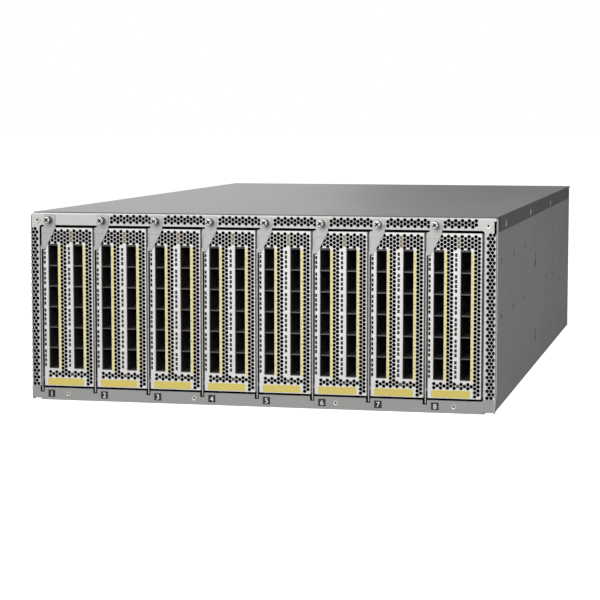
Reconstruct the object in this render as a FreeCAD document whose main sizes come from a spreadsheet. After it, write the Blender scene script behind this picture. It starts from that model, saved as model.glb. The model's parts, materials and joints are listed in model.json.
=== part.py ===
"""Four-unit modular chassis switch: eight port cards in front, supplies and fans behind.

X runs to the right, Y from the front to the rear and Z up, in millimetres. The origin is the middle
of the chassis's underside. A card is modelled in its own slot, with x = 0 at the slot's left edge,
and a supply or a fan tray about the middle of its bay; copies are then placed by slot or by bay.
"""
import FreeCAD, Part

import math
import os
import re

import Sketcher

# Driving dimensions: alias, value, meaning. A value that starts with = follows from the others.
SIZES = [
    ("chassis_width", 439.0, "over the cover's flanges"),
    ("chassis_height", 177.0, "underside to the top of the cover"),
    ("chassis_depth", 762.0, "bezel face to the rear panel"),
    ("tub_wall", 1.6, "sheet of the tub and the rear frame"),
    ("cover_wall", 1.2, "sheet of the cover"),
    ("bezel_wall", 1.2, "sheet of the bezel"),
    ("top_rail", 11.7, "height of the bezel above the cards"),
    ("bottom_rail", 11.7, "height of the bezel below the cards"),
    ("rail_lip", 3.6, "depth of the bottom rail's folded edge"),
    ("opening_radius", 2.6, "upper corners of the bezel's opening"),
    ("side_return", 15.0, "depth of the bezel's side folds"),
    ("top_return", 9.4, "depth of the bezel's top fold"),
    ("cover_gap", 0.6, "between the bezel's top fold and the cover"),
    ("flange_start", 31.0, "bezel face to the cover's flanges"),
    ("flange_stop", 20.0, "rear panel to the cover's flanges"),
    ("flange_height", 14.5, "cover's side flanges"),
    ("front_lip", 7.0, "top of the tub's front lip"),
    ("slot_count", 8, "card slots"),
    ("post_width", 9.3, "bezel's side posts"),
    ("slot_gap", 1.4, "row of slots to the bezel's opening, each side"),
    ("slot_pitch", "=(chassis_width - 2 * post_width - 2 * slot_gap) / slot_count", "slot to slot"),
    ("card_clear", 1.5, "faceplate to the bezel's opening, above and below"),
    ("card_gap", 1.4, "faceplate to the next slot"),
    ("card_wall", 1.2, "sheet of the faceplate"),
    ("card_return", 14.0, "depth of the faceplate's side folds"),
    ("board_wall", 2.2, "thickness of a circuit board"),
    ("board_length", 378.0, "main board, front to rear"),
    ("port_count", 6, "ports in a column"),
    ("port_pitch", 19.4, "port to port"),
    ("port_width", 9.2, "clear width of a port"),
    ("port_start", 16.8, "bottom of the faceplate to the lowest port"),
    ("column_pitch", 24.4, "first column of ports to the second"),
    ("cage_wall", 1.5, "side walls of a cage"),
    ("cage_divider", 1.0, "walls between two ports"),
    ("cage_depth", 70.0, "front to back of a cage"),
    ("vent_pitch", 8.6, "centre to centre of the hexagonal vents"),
    ("vent_web", 1.5, "metal between two vents"),
    ("lever_wall", 1.05, "sheet of the ejector lever"),
    ("lever_gap", 1.45, "lever to its own card"),
    ("card_width", "=slot_pitch - lever_wall - lever_gap - card_gap", "faceplate"),
    ("lever_proud", 1.4, "lever in front of the bezel"),
    ("lever_depth", 5.0, "back edge of the lever's leg behind the bezel face"),
    ("flag_width", 14.6, "lever's flag"),
    ("tab_inset", 3.5, "left edge of the flag's tab"),
    ("flag_margin", 1.5, "flag's top below the top of the chassis"),
    ("pivot_setback", 4.0, "lever's pivot behind the bezel face"),
    ("pivot_rise", 7.0, "lever's pivot above the bottom of its card"),
    ("pivot_radius", 2.0, "lever's pivot pin"),
    ("prong_reach", 11.7, "tip of the lever's prong below its pivot"),
    ("notch_width", 4.0, "notches for the prongs in the bottom rail"),
    ("notch_depth", 4.5, "notches below the rail's top edge"),
    ("knob_radius", 3.1, "head of the thumbscrew"),
    ("knob_length", 9.0, "head of the thumbscrew"),
    ("shank_radius", 1.5, "thumbscrew"),
    ("screw_reach", 3.0, "thumbscrew's tip behind the bezel face"),
    ("screw_drop", 6.7, "thumbscrew below the top of the chassis"),
    ("run_clear", 0.3, "gap round what slides"),
    ("fit_clear", 0.05, "gap round a pin or a shank"),
    ("screw_clear", 0.5, "thumbscrew in the bezel"),
    ("guide_wall", 1.6, "lips of the card guides"),
    ("guide_grip", 3.3, "depth of a card guide's groove"),
    ("guide_start", 24.0, "bezel face to the card guides"),
    ("plug_width", 9.0, "card's rear plug"),
    ("plug_height", 96.0, "card's rear plug"),
    ("plug_length", 18.0, "card's rear plug"),
    ("plug_bite", 6.0, "plug's length inside the midplane's socket"),
    ("socket_length", 12.0, "midplane's sockets"),
    ("midplane_wall", 3.2, "midplane board"),
    ("bay_count", 3, "supplies, and fan trays above them"),
    ("supply_height", 41.0, "power supply"),
    ("supply_depth", 300.0, "power supply"),
    ("module_proud", 2.0, "supplies and fan trays behind the rear panel"),
    ("fan_radius", 52.0, "air way of a fan tray"),
    ("fan_depth", 62.0, "fan tray"),
    ("tip_clear", 1.5, "blade tips to the air way"),
    ("hub_radius", 24.0, "fan hub"),
    ("hub_length", 26.0, "fan hub"),
    ("spindle_radius", 3.0, "fan spindle"),
    ("blade_count", 7, "blades of a fan"),
    ("blade_chord", 16.0, "width of a blade across the fan"),
    ("blade_wall", 1.6, "thickness of a blade"),
    ("spoke_width", 4.0, "arms that carry a fan's motor"),
    ("guard_bar", 3.0, "bars and thickness of the finger guard"),
    ("guard_pitch", 18.5, "bar to bar of the finger guard"),
    ("handle_reach", 22.0, "pull handles behind the modules"),
    ("handle_bar", 6.0, "thickness of a pull handle"),
    ("latch_width", 8.0, "supply's latch button"),
    ("latch_height", 14.0, "supply's latch button"),
    ("latch_travel", 4.0, "supply's latch button"),
    ("bracket_hole", 2.85, "radius of the bracket holes in the sides"),
    ("bracket_pitch", 98.0, "bracket holes, front to rear"),
    ("bracket_rise", 52.0, "bracket holes, lower row to upper row"),
    ("bracket_start", 54.0, "bezel face to the first bracket holes"),
    ("bracket_height", 83.0, "lower row of bracket holes"),
    ("cover_screw_pitch", 214.6, "cover's side screws"),
    ("cover_screw_start", 76.4, "bezel face to the first side screw"),
    ("cover_screw_drop", 9.0, "side screws below the top of the chassis"),
    ("small_screw", 3.3, "radius of the cover screws' heads"),
    ("rivet_radius", 2.45, "heads of the bezel's screws and rivets"),
    ("rivet_height", 5.5, "rivets in the bottom rail"),
    ("rear_edge", 4.0, "rear panel above the fan trays"),
    ("handle_inset", 6.0, "middle of a pull handle from the module's edge"),
    ("handle_margin", 3.0, "supply's handle inside its top and bottom"),
    ("inlet_width", 28.0, "supply's power inlet"),
    ("inlet_height", 22.0, "supply's power inlet"),
    ("inlet_depth", 18.0, "supply's power inlet"),
    ("inlet_inset", 12.0, "power inlet from the supply's left edge"),
    ("latch_inset", 22.0, "latch button's left edge from the supply's right edge"),
    ("latch_depth", 6.0, "well of the latch button"),
    ("latch_proud", 5.0, "latch button behind the supply"),
    ("exhaust_count", 6, "tall vents of a supply"),
]

# Places that several pieces share, as formulas in the sizes above.
FRONT = "(-chassis_depth / 2)"
REAR = "(chassis_depth / 2)"
HALF = "(chassis_width / 2)"
TUB_HALF = "(chassis_width / 2 - cover_wall)"
INNER_HALF = "(chassis_width / 2 - cover_wall - tub_wall)"
TUB_TOP = "(chassis_height - cover_wall)"
OPENING_HALF = "(slot_count * slot_pitch / 2 + slot_gap)"
OPENING_LOW = "bottom_rail"
OPENING_HIGH = "(chassis_height - top_rail)"
CARD_LEFT = "(lever_wall + lever_gap)"
CARD_LOW = "(bottom_rail + card_clear)"
CARD_HIGH = "(chassis_height - top_rail - card_clear)"
CARD_BACK = f"({FRONT} + card_wall)"
BOARD_LEFT = f"({CARD_LEFT} + card_wall)"
BOARD_RIGHT = f"({BOARD_LEFT} + board_wall)"
FIRST_COLUMN = f"({BOARD_RIGHT} + cage_wall)"
PORTS_LOW = f"({CARD_LOW} + port_start)"
PORTS_HIGH = f"({PORTS_LOW} + port_count * port_pitch)"
LEVER_FRONT = f"({FRONT} - lever_proud)"
PIVOT_Y = f"({FRONT} + pivot_setback)"
PIVOT_Z = f"({CARD_LOW} + pivot_rise)"
TAB_MIDDLE = "((tab_inset + flag_width) / 2)"
SCREW_Z = "(chassis_height - screw_drop)"
BOARD_END = f"({CARD_BACK} + board_length)"
PLUG_END = f"({BOARD_END} + plug_bite)"
MIDPLANE = f"({BOARD_END} + socket_length)"
PLUG_LOW = f"(({CARD_LOW} + {CARD_HIGH} - plug_height) / 2)"
BAY_PITCH = f"((2 * {INNER_HALF} + tub_wall) / bay_count)"
BAY_CLEAR = f"({BAY_PITCH} - tub_wall)"
MODULE_HALF = f"({BAY_CLEAR} / 2 - run_clear)"
SUPPLY_LOW = "(tub_wall + run_clear)"
SUPPLY_HIGH = "(tub_wall + run_clear + supply_height)"
SHELF_LOW = f"({SUPPLY_HIGH} + run_clear)"
FAN_LOW = f"({SHELF_LOW} + tub_wall + run_clear)"
FAN_HIGH = f"({TUB_TOP} - rear_edge - run_clear)"
FAN_MIDDLE = f"(({FAN_LOW} + {FAN_HIGH}) / 2)"
MODULE_BACK = f"({REAR} + module_proud)"

ALIASES = re.compile(r"\b(" + "|".join(alias for alias, _, _ in SIZES) + r")\b")
PLANES = {"X": "YZ_Plane", "Y": "XZ_Plane", "Z": "XY_Plane"}
TURNS = {
    "X": FreeCAD.Rotation(FreeCAD.Vector(0, 1, 0), 90),
    "Y": FreeCAD.Rotation(FreeCAD.Vector(1, 0, 0), -90),
    "Z": FreeCAD.Rotation(),
}

doc = FreeCAD.newDocument("chassis_switch")
sheet = doc.addObject("Spreadsheet::Sheet", "sizes")


# ---------------------------------------------------------------- sheet and small helpers

def fill_sheet():
    """Write the driving dimensions, one a row, each with its alias and meaning."""
    for row, (alias, number, meaning) in enumerate(SIZES, start=1):
        sheet.set(f"A{row}", alias)
        sheet.set(f"B{row}", str(number))
        sheet.set(f"C{row}", meaning)
        sheet.setAlias(f"B{row}", alias)
    doc.recompute()


def formula(text):
    """Turn a formula in plain size names into one that reads the sheet."""
    return ALIASES.sub(r"sizes.\1", str(text))


def value(text):
    """Work a formula out as a number."""
    return float(sheet.evalExpression(formula(text)))


def count(text):
    """Work a formula out as a whole number."""
    return int(round(value(text)))


def place(item, x="0", y="0", z="0"):
    """Bind an object's position to the sheet."""
    for axis, text in (("x", x), ("y", y), ("z", z)):
        item.setExpression(f"Placement.Base.{axis}", formula(text))
    return item


def box(name, x, y, z):
    """A block between two formulas on each axis."""
    block = doc.addObject("Part::Box", name)
    for side, (low, high) in (("Length", x), ("Width", y), ("Height", z)):
        block.setExpression(side, formula(f"({high}) - ({low})"))
    return place(block, x[0], y[0], z[0])


def rod(name, axis, radius, length, x, y, z):
    """A round bar that starts at a point and runs along an axis."""
    bar = doc.addObject("Part::Cylinder", name)
    bar.setExpression("Radius", formula(radius))
    bar.setExpression("Height", formula(length))
    bar.Placement = FreeCAD.Placement(FreeCAD.Vector(), TURNS[axis])
    return place(bar, x, y, z)


def flat_bar(name, sides, axis, radius, length, x, y, z):
    """A many-sided bar that stays inside a radius, for small pins, screws and stand-offs."""
    bar = doc.addObject("Part::Prism", name)
    bar.Polygon = sides
    bar.setExpression("Circumradius", formula(radius))
    bar.setExpression("Height", formula(length))
    bar.Placement = FreeCAD.Placement(FreeCAD.Vector(), TURNS[axis])
    return place(bar, x, y, z)


def around(radius, sides):
    """The corner radius of a many-sided hole that clears a round bar of a radius."""
    return f"({radius}) / cos({180 / sides} deg)"


def fuse(name, pieces):
    """Join pieces into one solid."""
    whole = doc.addObject("Part::MultiFuse", name)
    whole.Shapes = pieces
    whole.Refine = True
    return whole


def cut(name, base, tools):
    """Take several separate tools out of a piece."""
    tool = tools[0] if len(tools) == 1 else group(f"{name}_tools", tools)
    rest = doc.addObject("Part::Cut", name)
    rest.Base = base
    rest.Tool = tool
    return rest


def group(name, pieces):
    """Keep separate solids together."""
    bundle = doc.addObject("Part::Compound", name)
    bundle.Links = pieces
    return bundle


def new_body(name):
    """An empty body."""
    return doc.addObject("PartDesign::Body", name)


def sketch_on(body, name, axis, height):
    """A sketch across one of the body's axes, at a height along it."""
    drawing = body.newObject("Sketcher::SketchObject", name)
    plane = next(item for item in body.Origin.OriginFeatures if item.Role == PLANES[axis])
    drawing.AttachmentSupport = (plane, [""])
    drawing.MapMode = "FlatFace"
    sign = "-" if axis == "Y" else ""
    drawing.setExpression("AttachmentOffset.Base.z", formula(f"{sign}({height})"))
    return drawing


def pin_point(drawing, index, corner, u, v):
    """Bind one point of a sketch to two formulas."""
    for kind, text in (("DistanceX", u), ("DistanceY", v)):
        rule = Sketcher.Constraint(kind, -1, 1, index, corner, value(text))
        drawing.setExpression(f"Constraints[{drawing.addConstraint(rule)}]", formula(text))


def outline(drawing, points):
    """Draw a closed outline with straight sides through points given as formulas."""
    first = drawing.GeometryCount
    corners = [FreeCAD.Vector(value(u), value(v), 0) for u, v in points]
    for here, after in zip(corners, corners[1:] + corners[:1]):
        drawing.addGeometry(Part.LineSegment(here, after))
    for step, (u, v) in enumerate(points):
        after = first + (step + 1) % len(points)
        drawing.addConstraint(Sketcher.Constraint("Coincident", first + step, 2, after, 1))
        pin_point(drawing, first + step, 1, u, v)


def ring(drawing, u, v, radius):
    """Draw a circle whose centre and radius are formulas."""
    centre = FreeCAD.Vector(value(u), value(v), 0)
    index = drawing.addGeometry(Part.Circle(centre, FreeCAD.Vector(0, 0, 1), value(radius)))
    pin_point(drawing, index, 3, u, v)
    rule = Sketcher.Constraint("Radius", index, value(radius))
    drawing.setExpression(f"Constraints[{drawing.addConstraint(rule)}]", formula(radius))


def many_sided(u, v, radius, sides):
    """The corners of a many-sided hole round a centre, its flats clear of the radius."""
    corners = []
    for step in range(sides):
        angle = 360 * (step + 0.5) / sides
        reach = around(radius, sides)
        corners.append((f"{u} + {reach} * cos({angle} deg)", f"{v} + {reach} * sin({angle} deg)"))
    return corners


def rectangle(low_u, high_u, low_v, high_v):
    """The four corners of a rectangle."""
    return [(low_u, low_v), (high_u, low_v), (high_u, high_v), (low_u, high_v)]


def pad(body, name, axis, low, high, points):
    """Add the outline's section between two heights along an axis."""
    drawing = sketch_on(body, f"{name}_outline", axis, low)
    outline(drawing, points)
    feature = body.newObject("PartDesign::Pad", name)
    feature.Profile = drawing
    feature.setExpression("Length", formula(f"({high}) - ({low})"))
    feature.Reversed = axis == "Y"
    return feature


def pocket(body, name, axis, low, high, drawing):
    """Take a drawn sketch's section out between two heights along an axis."""
    feature = body.newObject("PartDesign::Pocket", name)
    feature.Profile = drawing
    feature.setExpression("Length", formula(f"({high}) - ({low})"))
    feature.Reversed = axis != "Y"
    return feature


def round_corners(body, name, corners, radius):
    """Round the edges along Y through corners given as x and z formulas."""
    doc.recompute()
    base = body.Tip
    spots = [(value(x), value(z)) for x, z in corners]
    edges = []
    for number, edge in enumerate(base.Shape.Edges, start=1):
        ends = [vertex.Point for vertex in edge.Vertexes]
        for x, z in spots:
            if len(ends) == 2 and all(math.hypot(end.x - x, end.z - z) < 1e-4 for end in ends):
                edges.append(f"Edge{number}")
    fillet = body.newObject("PartDesign::Fillet", name)
    fillet.Base = (base, edges)
    fillet.setExpression("Radius", formula(radius))
    return fillet


def copies(name, master, number, pitch):
    """Place like pieces side by side along X, centred on the chassis."""
    for index in range(number):
        copy = group(name.format(index + 1), [master])
        place(copy, f"{pitch} * ({index} - ({number} - 1) / 2)")
        parts.append(copy)


def in_slots(name, master):
    """Place a card's piece in every slot: slot coordinates start at the slot's left edge."""
    for index in range(count("slot_count")):
        copy = group(name.format(index + 1), [master])
        place(copy, f"slot_pitch * ({index} - slot_count / 2)")
        parts.append(copy)


# ---------------------------------------------------------------- vents

def hexagon(x, z, across, stretch, low, high):
    """A six-sided cutter along Y, points up and down, its sides stretched in height."""
    corner = across / math.sqrt(3)
    points = []
    for step in range(6):
        angle = math.radians(30 + 60 * step)
        lift = math.copysign(stretch / 2, math.sin(angle))
        points.append(FreeCAD.Vector(x + corner * math.cos(angle), low,
                                     z + corner * math.sin(angle) + lift))
    wire = Part.makePolygon(points + points[:1])
    return Part.Face(wire).extrude(FreeCAD.Vector(0, high - low, 0))


def lattice(low_x, high_x, low_z, high_z, across, pitch):
    """Centres of a staggered field of vents that fills a rectangle."""
    row_step = pitch * math.sqrt(3) / 2
    corner = across / math.sqrt(3)
    rows = int((high_z - low_z - 2 * corner) / row_step + 1e-6) + 1
    fitting = int((high_x - low_x - across) / pitch + 1e-6) + 1
    base_z = (low_z + high_z - (rows - 1) * row_step) / 2
    base_x = (low_x + high_x - (fitting - 1) * pitch) / 2
    centres = []
    for row in range(rows):
        odd = row % 2
        for step in range(fitting - odd):
            centres.append((base_x + (step + odd / 2) * pitch, base_z + row * row_step))
    return centres


def cutters(name, shapes):
    """One object for a field of cutters."""
    field = doc.addObject("Part::Feature", name)
    field.Shape = Part.makeCompound(shapes)
    return field


# ---------------------------------------------------------------- chassis

def chassis_tub():
    """Base and sides folded from one sheet, with a front lip and two corner tabs."""
    body = new_body("tub_sheet")
    section = [
        (f"-{TUB_HALF}", "0"), (TUB_HALF, "0"), (TUB_HALF, TUB_TOP), (INNER_HALF, TUB_TOP),
        (INNER_HALF, "tub_wall"), (f"-{INNER_HALF}", "tub_wall"),
        (f"-{INNER_HALF}", TUB_TOP), (f"-{TUB_HALF}", TUB_TOP),
    ]
    skin = f"({FRONT} + bezel_wall)"
    pad(body, "tub_fold", "Y", skin, REAR, section)
    lip = rectangle(f"-{INNER_HALF}", INNER_HALF, "tub_wall / 2", "front_lip")
    pad(body, "tub_lip", "Y", skin, f"{skin} + tub_wall", lip)
    for side, name in (("-", "left"), ("", "right")):
        tab = rectangle(f"{side}({INNER_HALF} + tub_wall / 2)", f"{side}({OPENING_HALF} + slot_gap)",
                        f"({OPENING_HIGH} + slot_gap)", TUB_TOP)
        pad(body, f"tub_tab_{name}", "Y", skin, f"{skin} + tub_wall", tab)
    doc.recompute()
    pocket(body, "tub_holes", "X", f"-{HALF}", HALF, side_holes(body))
    pocket(body, "tub_keyholes", "X", f"-{HALF}", HALF, key_slots(body))
    reliefs = []
    for side, name in ((f"-{HALF}", "left"), (OPENING_HALF, "right")):
        reliefs.append(box(f"tub_relief_{name}", (side, f"{side} + post_width"),
                           (f"{FRONT} - 1", f"{FRONT} + side_return"), ("-1", "tub_wall")))
    parts.append(cut("chassis_tub", body, reliefs))


def side_holes(body):
    """Holes through both sides: round ones for brackets, six-sided ones for small fasteners."""
    drawing = sketch_on(body, "side_holes", "X", f"-{HALF}")
    for row in range(2):
        for column in range(3):
            ring(drawing, f"{FRONT} + bracket_start + {column} * bracket_pitch",
                 f"bracket_height + {row} * bracket_rise", "bracket_hole")
    for step in range(3):
        middle = f"{FRONT} + cover_screw_start + {step} * cover_screw_pitch"
        outline(drawing, many_sided(middle, "chassis_height - cover_screw_drop", "small_screw / 2", 6))
    for setback, height, radius in SIDE_HOLES:
        outline(drawing, many_sided(f"{FRONT} + {setback}", str(height), str(radius), 6))
    return drawing


def key_slots(body):
    """Keyholes that hang the chassis on studs: a wide mouth under a narrow slot."""
    drawing = sketch_on(body, "key_slots", "X", f"-{HALF}")
    for setback, height, radius in KEYHOLES:
        middle = f"{FRONT} + {setback}"
        neck, shoulder = radius / 2, radius * math.sqrt(3) / 2
        steps = [(neck, -shoulder), (radius, 0), (neck, shoulder), (neck, 3 * radius)]
        mirrored = [(-across, rise) for across, rise in reversed(steps)]
        outline(drawing, [(f"{middle} + {across}", f"{height} + {rise}")
                          for across, rise in steps + mirrored])
    return drawing


# Keyholes and small holes in the sides: setback from the bezel face, height, radius.
KEYHOLES = [(356.0, 109.0, 4.2), (363.0, 27.0, 4.2)]
SIDE_HOLES = [
    (474.0, 86.0, 1.9), (533.0, 27.0, 2.4), (468.0, 151.0, 1.9),
    (546.0, 135.0, 2.2), (638.0, 135.0, 2.2), (737.0, 135.0, 2.2),
    (549.0, 83.0, 2.2), (648.0, 83.0, 2.2), (739.0, 83.0, 2.2),
    (549.0, 101.0, 1.6), (648.0, 101.0, 1.6),
]


def bezel_fasteners():
    """Places of the bezel's two corner screws and four rivets, as x and z formulas."""
    corner = f"(({OPENING_HALF} + {INNER_HALF}) / 2 - slot_gap)"
    spots = [(f"-{corner}", SCREW_Z), (corner, SCREW_Z)]
    for share in ("-3.5", "-1.15", "1.42", "3.5"):
        spots.append((f"({share} * slot_pitch)", "rivet_height"))
    return spots


def top_cover():
    """Flat lid with a flange folded down each side."""
    body = new_body("cover_sheet")
    top = rectangle(f"-{HALF}", HALF, TUB_TOP, "chassis_height")
    pad(body, "cover_top", "Y", f"{FRONT} + top_return + cover_gap", REAR, top)
    for side, name in (("-", "left"), ("", "right")):
        flange = rectangle(f"{side}{TUB_HALF}", f"{side}{HALF}",
                           "chassis_height - flange_height", "chassis_height")
        pad(body, f"cover_flange_{name}", "Y", f"{FRONT} + flange_start",
            f"{REAR} - flange_stop", flange)
    drawing = sketch_on(body, "cover_holes", "X", f"-{HALF}")
    for step in range(3):
        middle = f"{FRONT} + cover_screw_start + {step} * cover_screw_pitch"
        outline(drawing, many_sided(middle, "chassis_height - cover_screw_drop",
                                    "small_screw + fit_clear", 12))
    pocket(body, "cover_screw_holes", "X", f"-{HALF}", HALF, drawing)
    body.Label = "top_cover"
    parts.append(body)


def bezel_vents():
    """Vents in the bezel's side posts and in its top rail, clear of the thumbscrews' tabs."""
    across = value("vent_pitch") - value("vent_web")
    low = value(FRONT) - 1
    high = value(FRONT) + value("bezel_wall") + 1
    post = (value(OPENING_HALF) + value(INNER_HALF)) / 2
    narrow = min(across, 0.6 * value("post_width"))
    step = value("vent_pitch") * 2 * math.sqrt(3) / 2
    start = value(CARD_LOW) + across
    shapes = []
    for row in range(int((value(OPENING_HIGH) - across - start) / step) + 1):
        for side in (-1, 1):
            shapes.append(hexagon(side * post, start + row * step, narrow, across / 2, low, high))
    rail = value("chassis_height") - value("top_rail") / 2
    field = (value("flag_width") + across, value("slot_pitch") - across / 2)
    for slot in range(1, count("slot_count")):
        left = value("slot_pitch") * (slot - value("slot_count") / 2)
        steps = int((field[1] - field[0]) / value("vent_pitch"))
        for index in range(steps):
            x = left + field[0] + (index + 0.5) * (field[1] - field[0]) / steps
            shapes.append(hexagon(x, rail, across, 0, low, high))
    return cutters("bezel_vents", shapes)


def front_bezel():
    """Folded front frame round the card opening, with vents and a notch for every lever."""
    skin = f"({FRONT} + bezel_wall)"
    body = new_body("bezel_sheet")
    foot = [(OPENING_HALF, "0"), (OPENING_HALF, "tub_wall"), (HALF, "tub_wall"), (HALF, "chassis_height")]
    face = foot + [(f"-{x}", z) for x, z in reversed(foot)]
    pad(body, "bezel_face", "Y", FRONT, skin, face)
    round_corners(body, "bezel_corners", [(f"-{HALF}", "chassis_height"), (HALF, "chassis_height")],
                  "bezel_wall")
    fold = rectangle(f"-{TUB_HALF}", TUB_HALF, TUB_TOP, "chassis_height")
    pad(body, "bezel_top_fold", "Y", FRONT, f"{FRONT} + top_return", fold)
    fold = [
        (FRONT, "tub_wall"), (skin, "tub_wall"), (f"{FRONT} + side_return", "side_return"),
        (f"{FRONT} + side_return", f"{TUB_TOP} - bezel_wall"), (FRONT, f"{TUB_TOP} - bezel_wall"),
    ]
    pad(body, "bezel_left_fold", "X", f"-{HALF}", f"-{TUB_HALF}", fold)
    pad(body, "bezel_right_fold", "X", TUB_HALF, HALF, fold)
    lip = rectangle(f"-{OPENING_HALF}", OPENING_HALF, f"{OPENING_LOW} - bezel_wall", OPENING_LOW)
    pad(body, "bezel_lip", "Y", FRONT, f"{skin} + rail_lip", lip)
    drawing = sketch_on(body, "bezel_opening_outline", "Y", FRONT)
    outline(drawing, rectangle(f"-{OPENING_HALF}", OPENING_HALF, OPENING_LOW, OPENING_HIGH))
    pocket(body, "bezel_opening", "Y", FRONT, f"{skin} + rail_lip", drawing)
    round_corners(body, "opening_corners", [(f"-{OPENING_HALF}", OPENING_HIGH), (OPENING_HALF, OPENING_HIGH)],
                  "opening_radius")
    tools = [bezel_vents()]
    for slot in range(count("slot_count")):
        left = f"slot_pitch * ({slot} - slot_count / 2)"
        middle = f"{left} + lever_wall / 2"
        wide = (f"{middle} - notch_width / 2", f"{middle} + notch_width / 2")
        tools.append(box(f"notch_{slot + 1}", wide, (f"{FRONT} - 1", f"{skin} + rail_lip + 1"),
                         (f"{OPENING_LOW} - notch_depth", f"{OPENING_LOW} + card_clear")))
        tools.append(flat_bar(f"screw_way_{slot + 1}", 8, "Y", around("shank_radius + screw_clear", 8),
                              "bezel_wall + 2", f"{left} + {TAB_MIDDLE}", f"{FRONT} - 1", SCREW_Z))
    for index, (x, z) in enumerate(bezel_fasteners(), start=1):
        tools.append(flat_bar(f"bezel_hole_{index}", 6, "Y", "rivet_radius / 2 + fit_clear",
                              "bezel_wall + 2", x, f"{FRONT} - 1", z))
    parts.append(cut("front_bezel", body, tools))


def card_guides():
    """A grooved rail under and over every card's main board."""
    rails = []
    middle = f"({BOARD_LEFT} + board_wall / 2)"
    half_groove = "(board_wall / 2 + run_clear)"
    for slot in range(count("slot_count")):
        centre = f"(slot_pitch * ({slot} - slot_count / 2) + {middle})"
        reach = (f"{FRONT} + guide_start", f"{MIDPLANE} - socket_length")
        wide = (f"{centre} - {half_groove} - guide_wall", f"{centre} + {half_groove} + guide_wall")
        slit = (f"{centre} - {half_groove}", f"{centre} + {half_groove}")
        levels = (
            ("low", "tub_wall", f"{CARD_LOW} + guide_grip", f"{CARD_LOW} - run_clear",
             f"{CARD_LOW} + guide_grip + 1"),
            ("high", f"{CARD_HIGH} - guide_grip", TUB_TOP, f"{CARD_HIGH} - guide_grip - 1",
             f"{CARD_HIGH} + run_clear"),
        )
        for name, bottom, top, slit_bottom, slit_top in levels:
            block = box(f"rail_{name}_{slot + 1}", wide, reach, (bottom, top))
            slot_tool = box(f"groove_{name}_{slot + 1}", slit,
                            (f"{reach[0]} - 1", f"{reach[1]} + 1"), (slit_bottom, slit_top))
            rails.append(cut(f"guide_{name}_{slot + 1}", block, [slot_tool]))
    parts.append(group("card_guides", rails))


def midplane():
    """Upright board across the chassis, with a socket and an air way for every card."""
    board = box("midplane_sheet", (f"-{INNER_HALF}", INNER_HALF),
                (MIDPLANE, f"{MIDPLANE} + midplane_wall"), ("tub_wall", TUB_TOP))
    ways, sockets = [], []
    for slot in range(count("slot_count")):
        left = f"slot_pitch * ({slot} - slot_count / 2)"
        right_of_plug = f"{left} + {BOARD_RIGHT} + plug_width + 2 * cage_wall"
        ways.append(box(f"air_way_{slot + 1}", (right_of_plug, f"{left} + slot_pitch - cage_wall"),
                        (f"{MIDPLANE} - 1", f"{MIDPLANE} + midplane_wall + 1"),
                        (f"{PLUG_LOW}", f"{PLUG_LOW} + plug_height")))
        inner_x = (f"{left} + {BOARD_RIGHT} - run_clear",
                   f"{left} + {BOARD_RIGHT} + plug_width + run_clear")
        inner_z = (f"{PLUG_LOW} - run_clear", f"{PLUG_LOW} + plug_height + run_clear")
        shell = box(f"socket_shell_{slot + 1}",
                    (f"{inner_x[0]} - cage_wall", f"{inner_x[1]} + cage_wall"),
                    (f"{MIDPLANE} - socket_length + run_clear", MIDPLANE),
                    (f"{inner_z[0]} - cage_wall", f"{inner_z[1]} + cage_wall"))
        hollow = box(f"socket_hollow_{slot + 1}", inner_x,
                     (f"{MIDPLANE} - socket_length - 1", f"{PLUG_END} + run_clear"), inner_z)
        sockets.append(cut(f"socket_{slot + 1}", shell, [hollow]))
    parts.append(fuse("midplane", [cut("midplane_board", board, ways)] + sockets))


def rear_frame():
    """Rear panel with a bay for each module, the shelf between the rows and the dividers."""
    panel = box("rear_panel", (f"-{INNER_HALF}", INNER_HALF), (f"{REAR} - tub_wall", REAR),
                ("tub_wall", TUB_TOP))
    windows, walls = [], []
    for index in range(count("bay_count")):
        middle = f"({BAY_PITCH} * ({index} - (bay_count - 1) / 2))"
        wide = (f"{middle} - {BAY_CLEAR} / 2", f"{middle} + {BAY_CLEAR} / 2")
        depth = (f"{REAR} - tub_wall - 1", f"{REAR} + 1")
        windows.append(box(f"supply_bay_{index + 1}", wide, depth, ("tub_wall", SHELF_LOW)))
        windows.append(box(f"fan_bay_{index + 1}", wide, depth,
                           (f"{SHELF_LOW} + tub_wall", f"{FAN_HIGH} + run_clear")))
        if index:
            edge = f"({BAY_PITCH} * ({index} - bay_count / 2))"
            thick = (f"{edge} - tub_wall / 2", f"{edge} + tub_wall / 2")
            walls.append(box(f"supply_divider_{index}", thick,
                             (f"{REAR} - supply_depth", f"{REAR} - tub_wall / 2"),
                             ("tub_wall", SHELF_LOW)))
            walls.append(box(f"fan_divider_{index}", thick,
                             (f"{REAR} - fan_depth", f"{REAR} - tub_wall / 2"),
                             (SHELF_LOW, TUB_TOP)))
    shelf = box("rear_shelf", (f"-{INNER_HALF}", INNER_HALF),
                (f"{REAR} - supply_depth", f"{REAR} - tub_wall / 2"),
                (SHELF_LOW, f"{SHELF_LOW} + tub_wall"))
    parts.append(fuse("rear_frame", [cut("rear_panel_bays", panel, windows), shelf] + walls))


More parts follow.
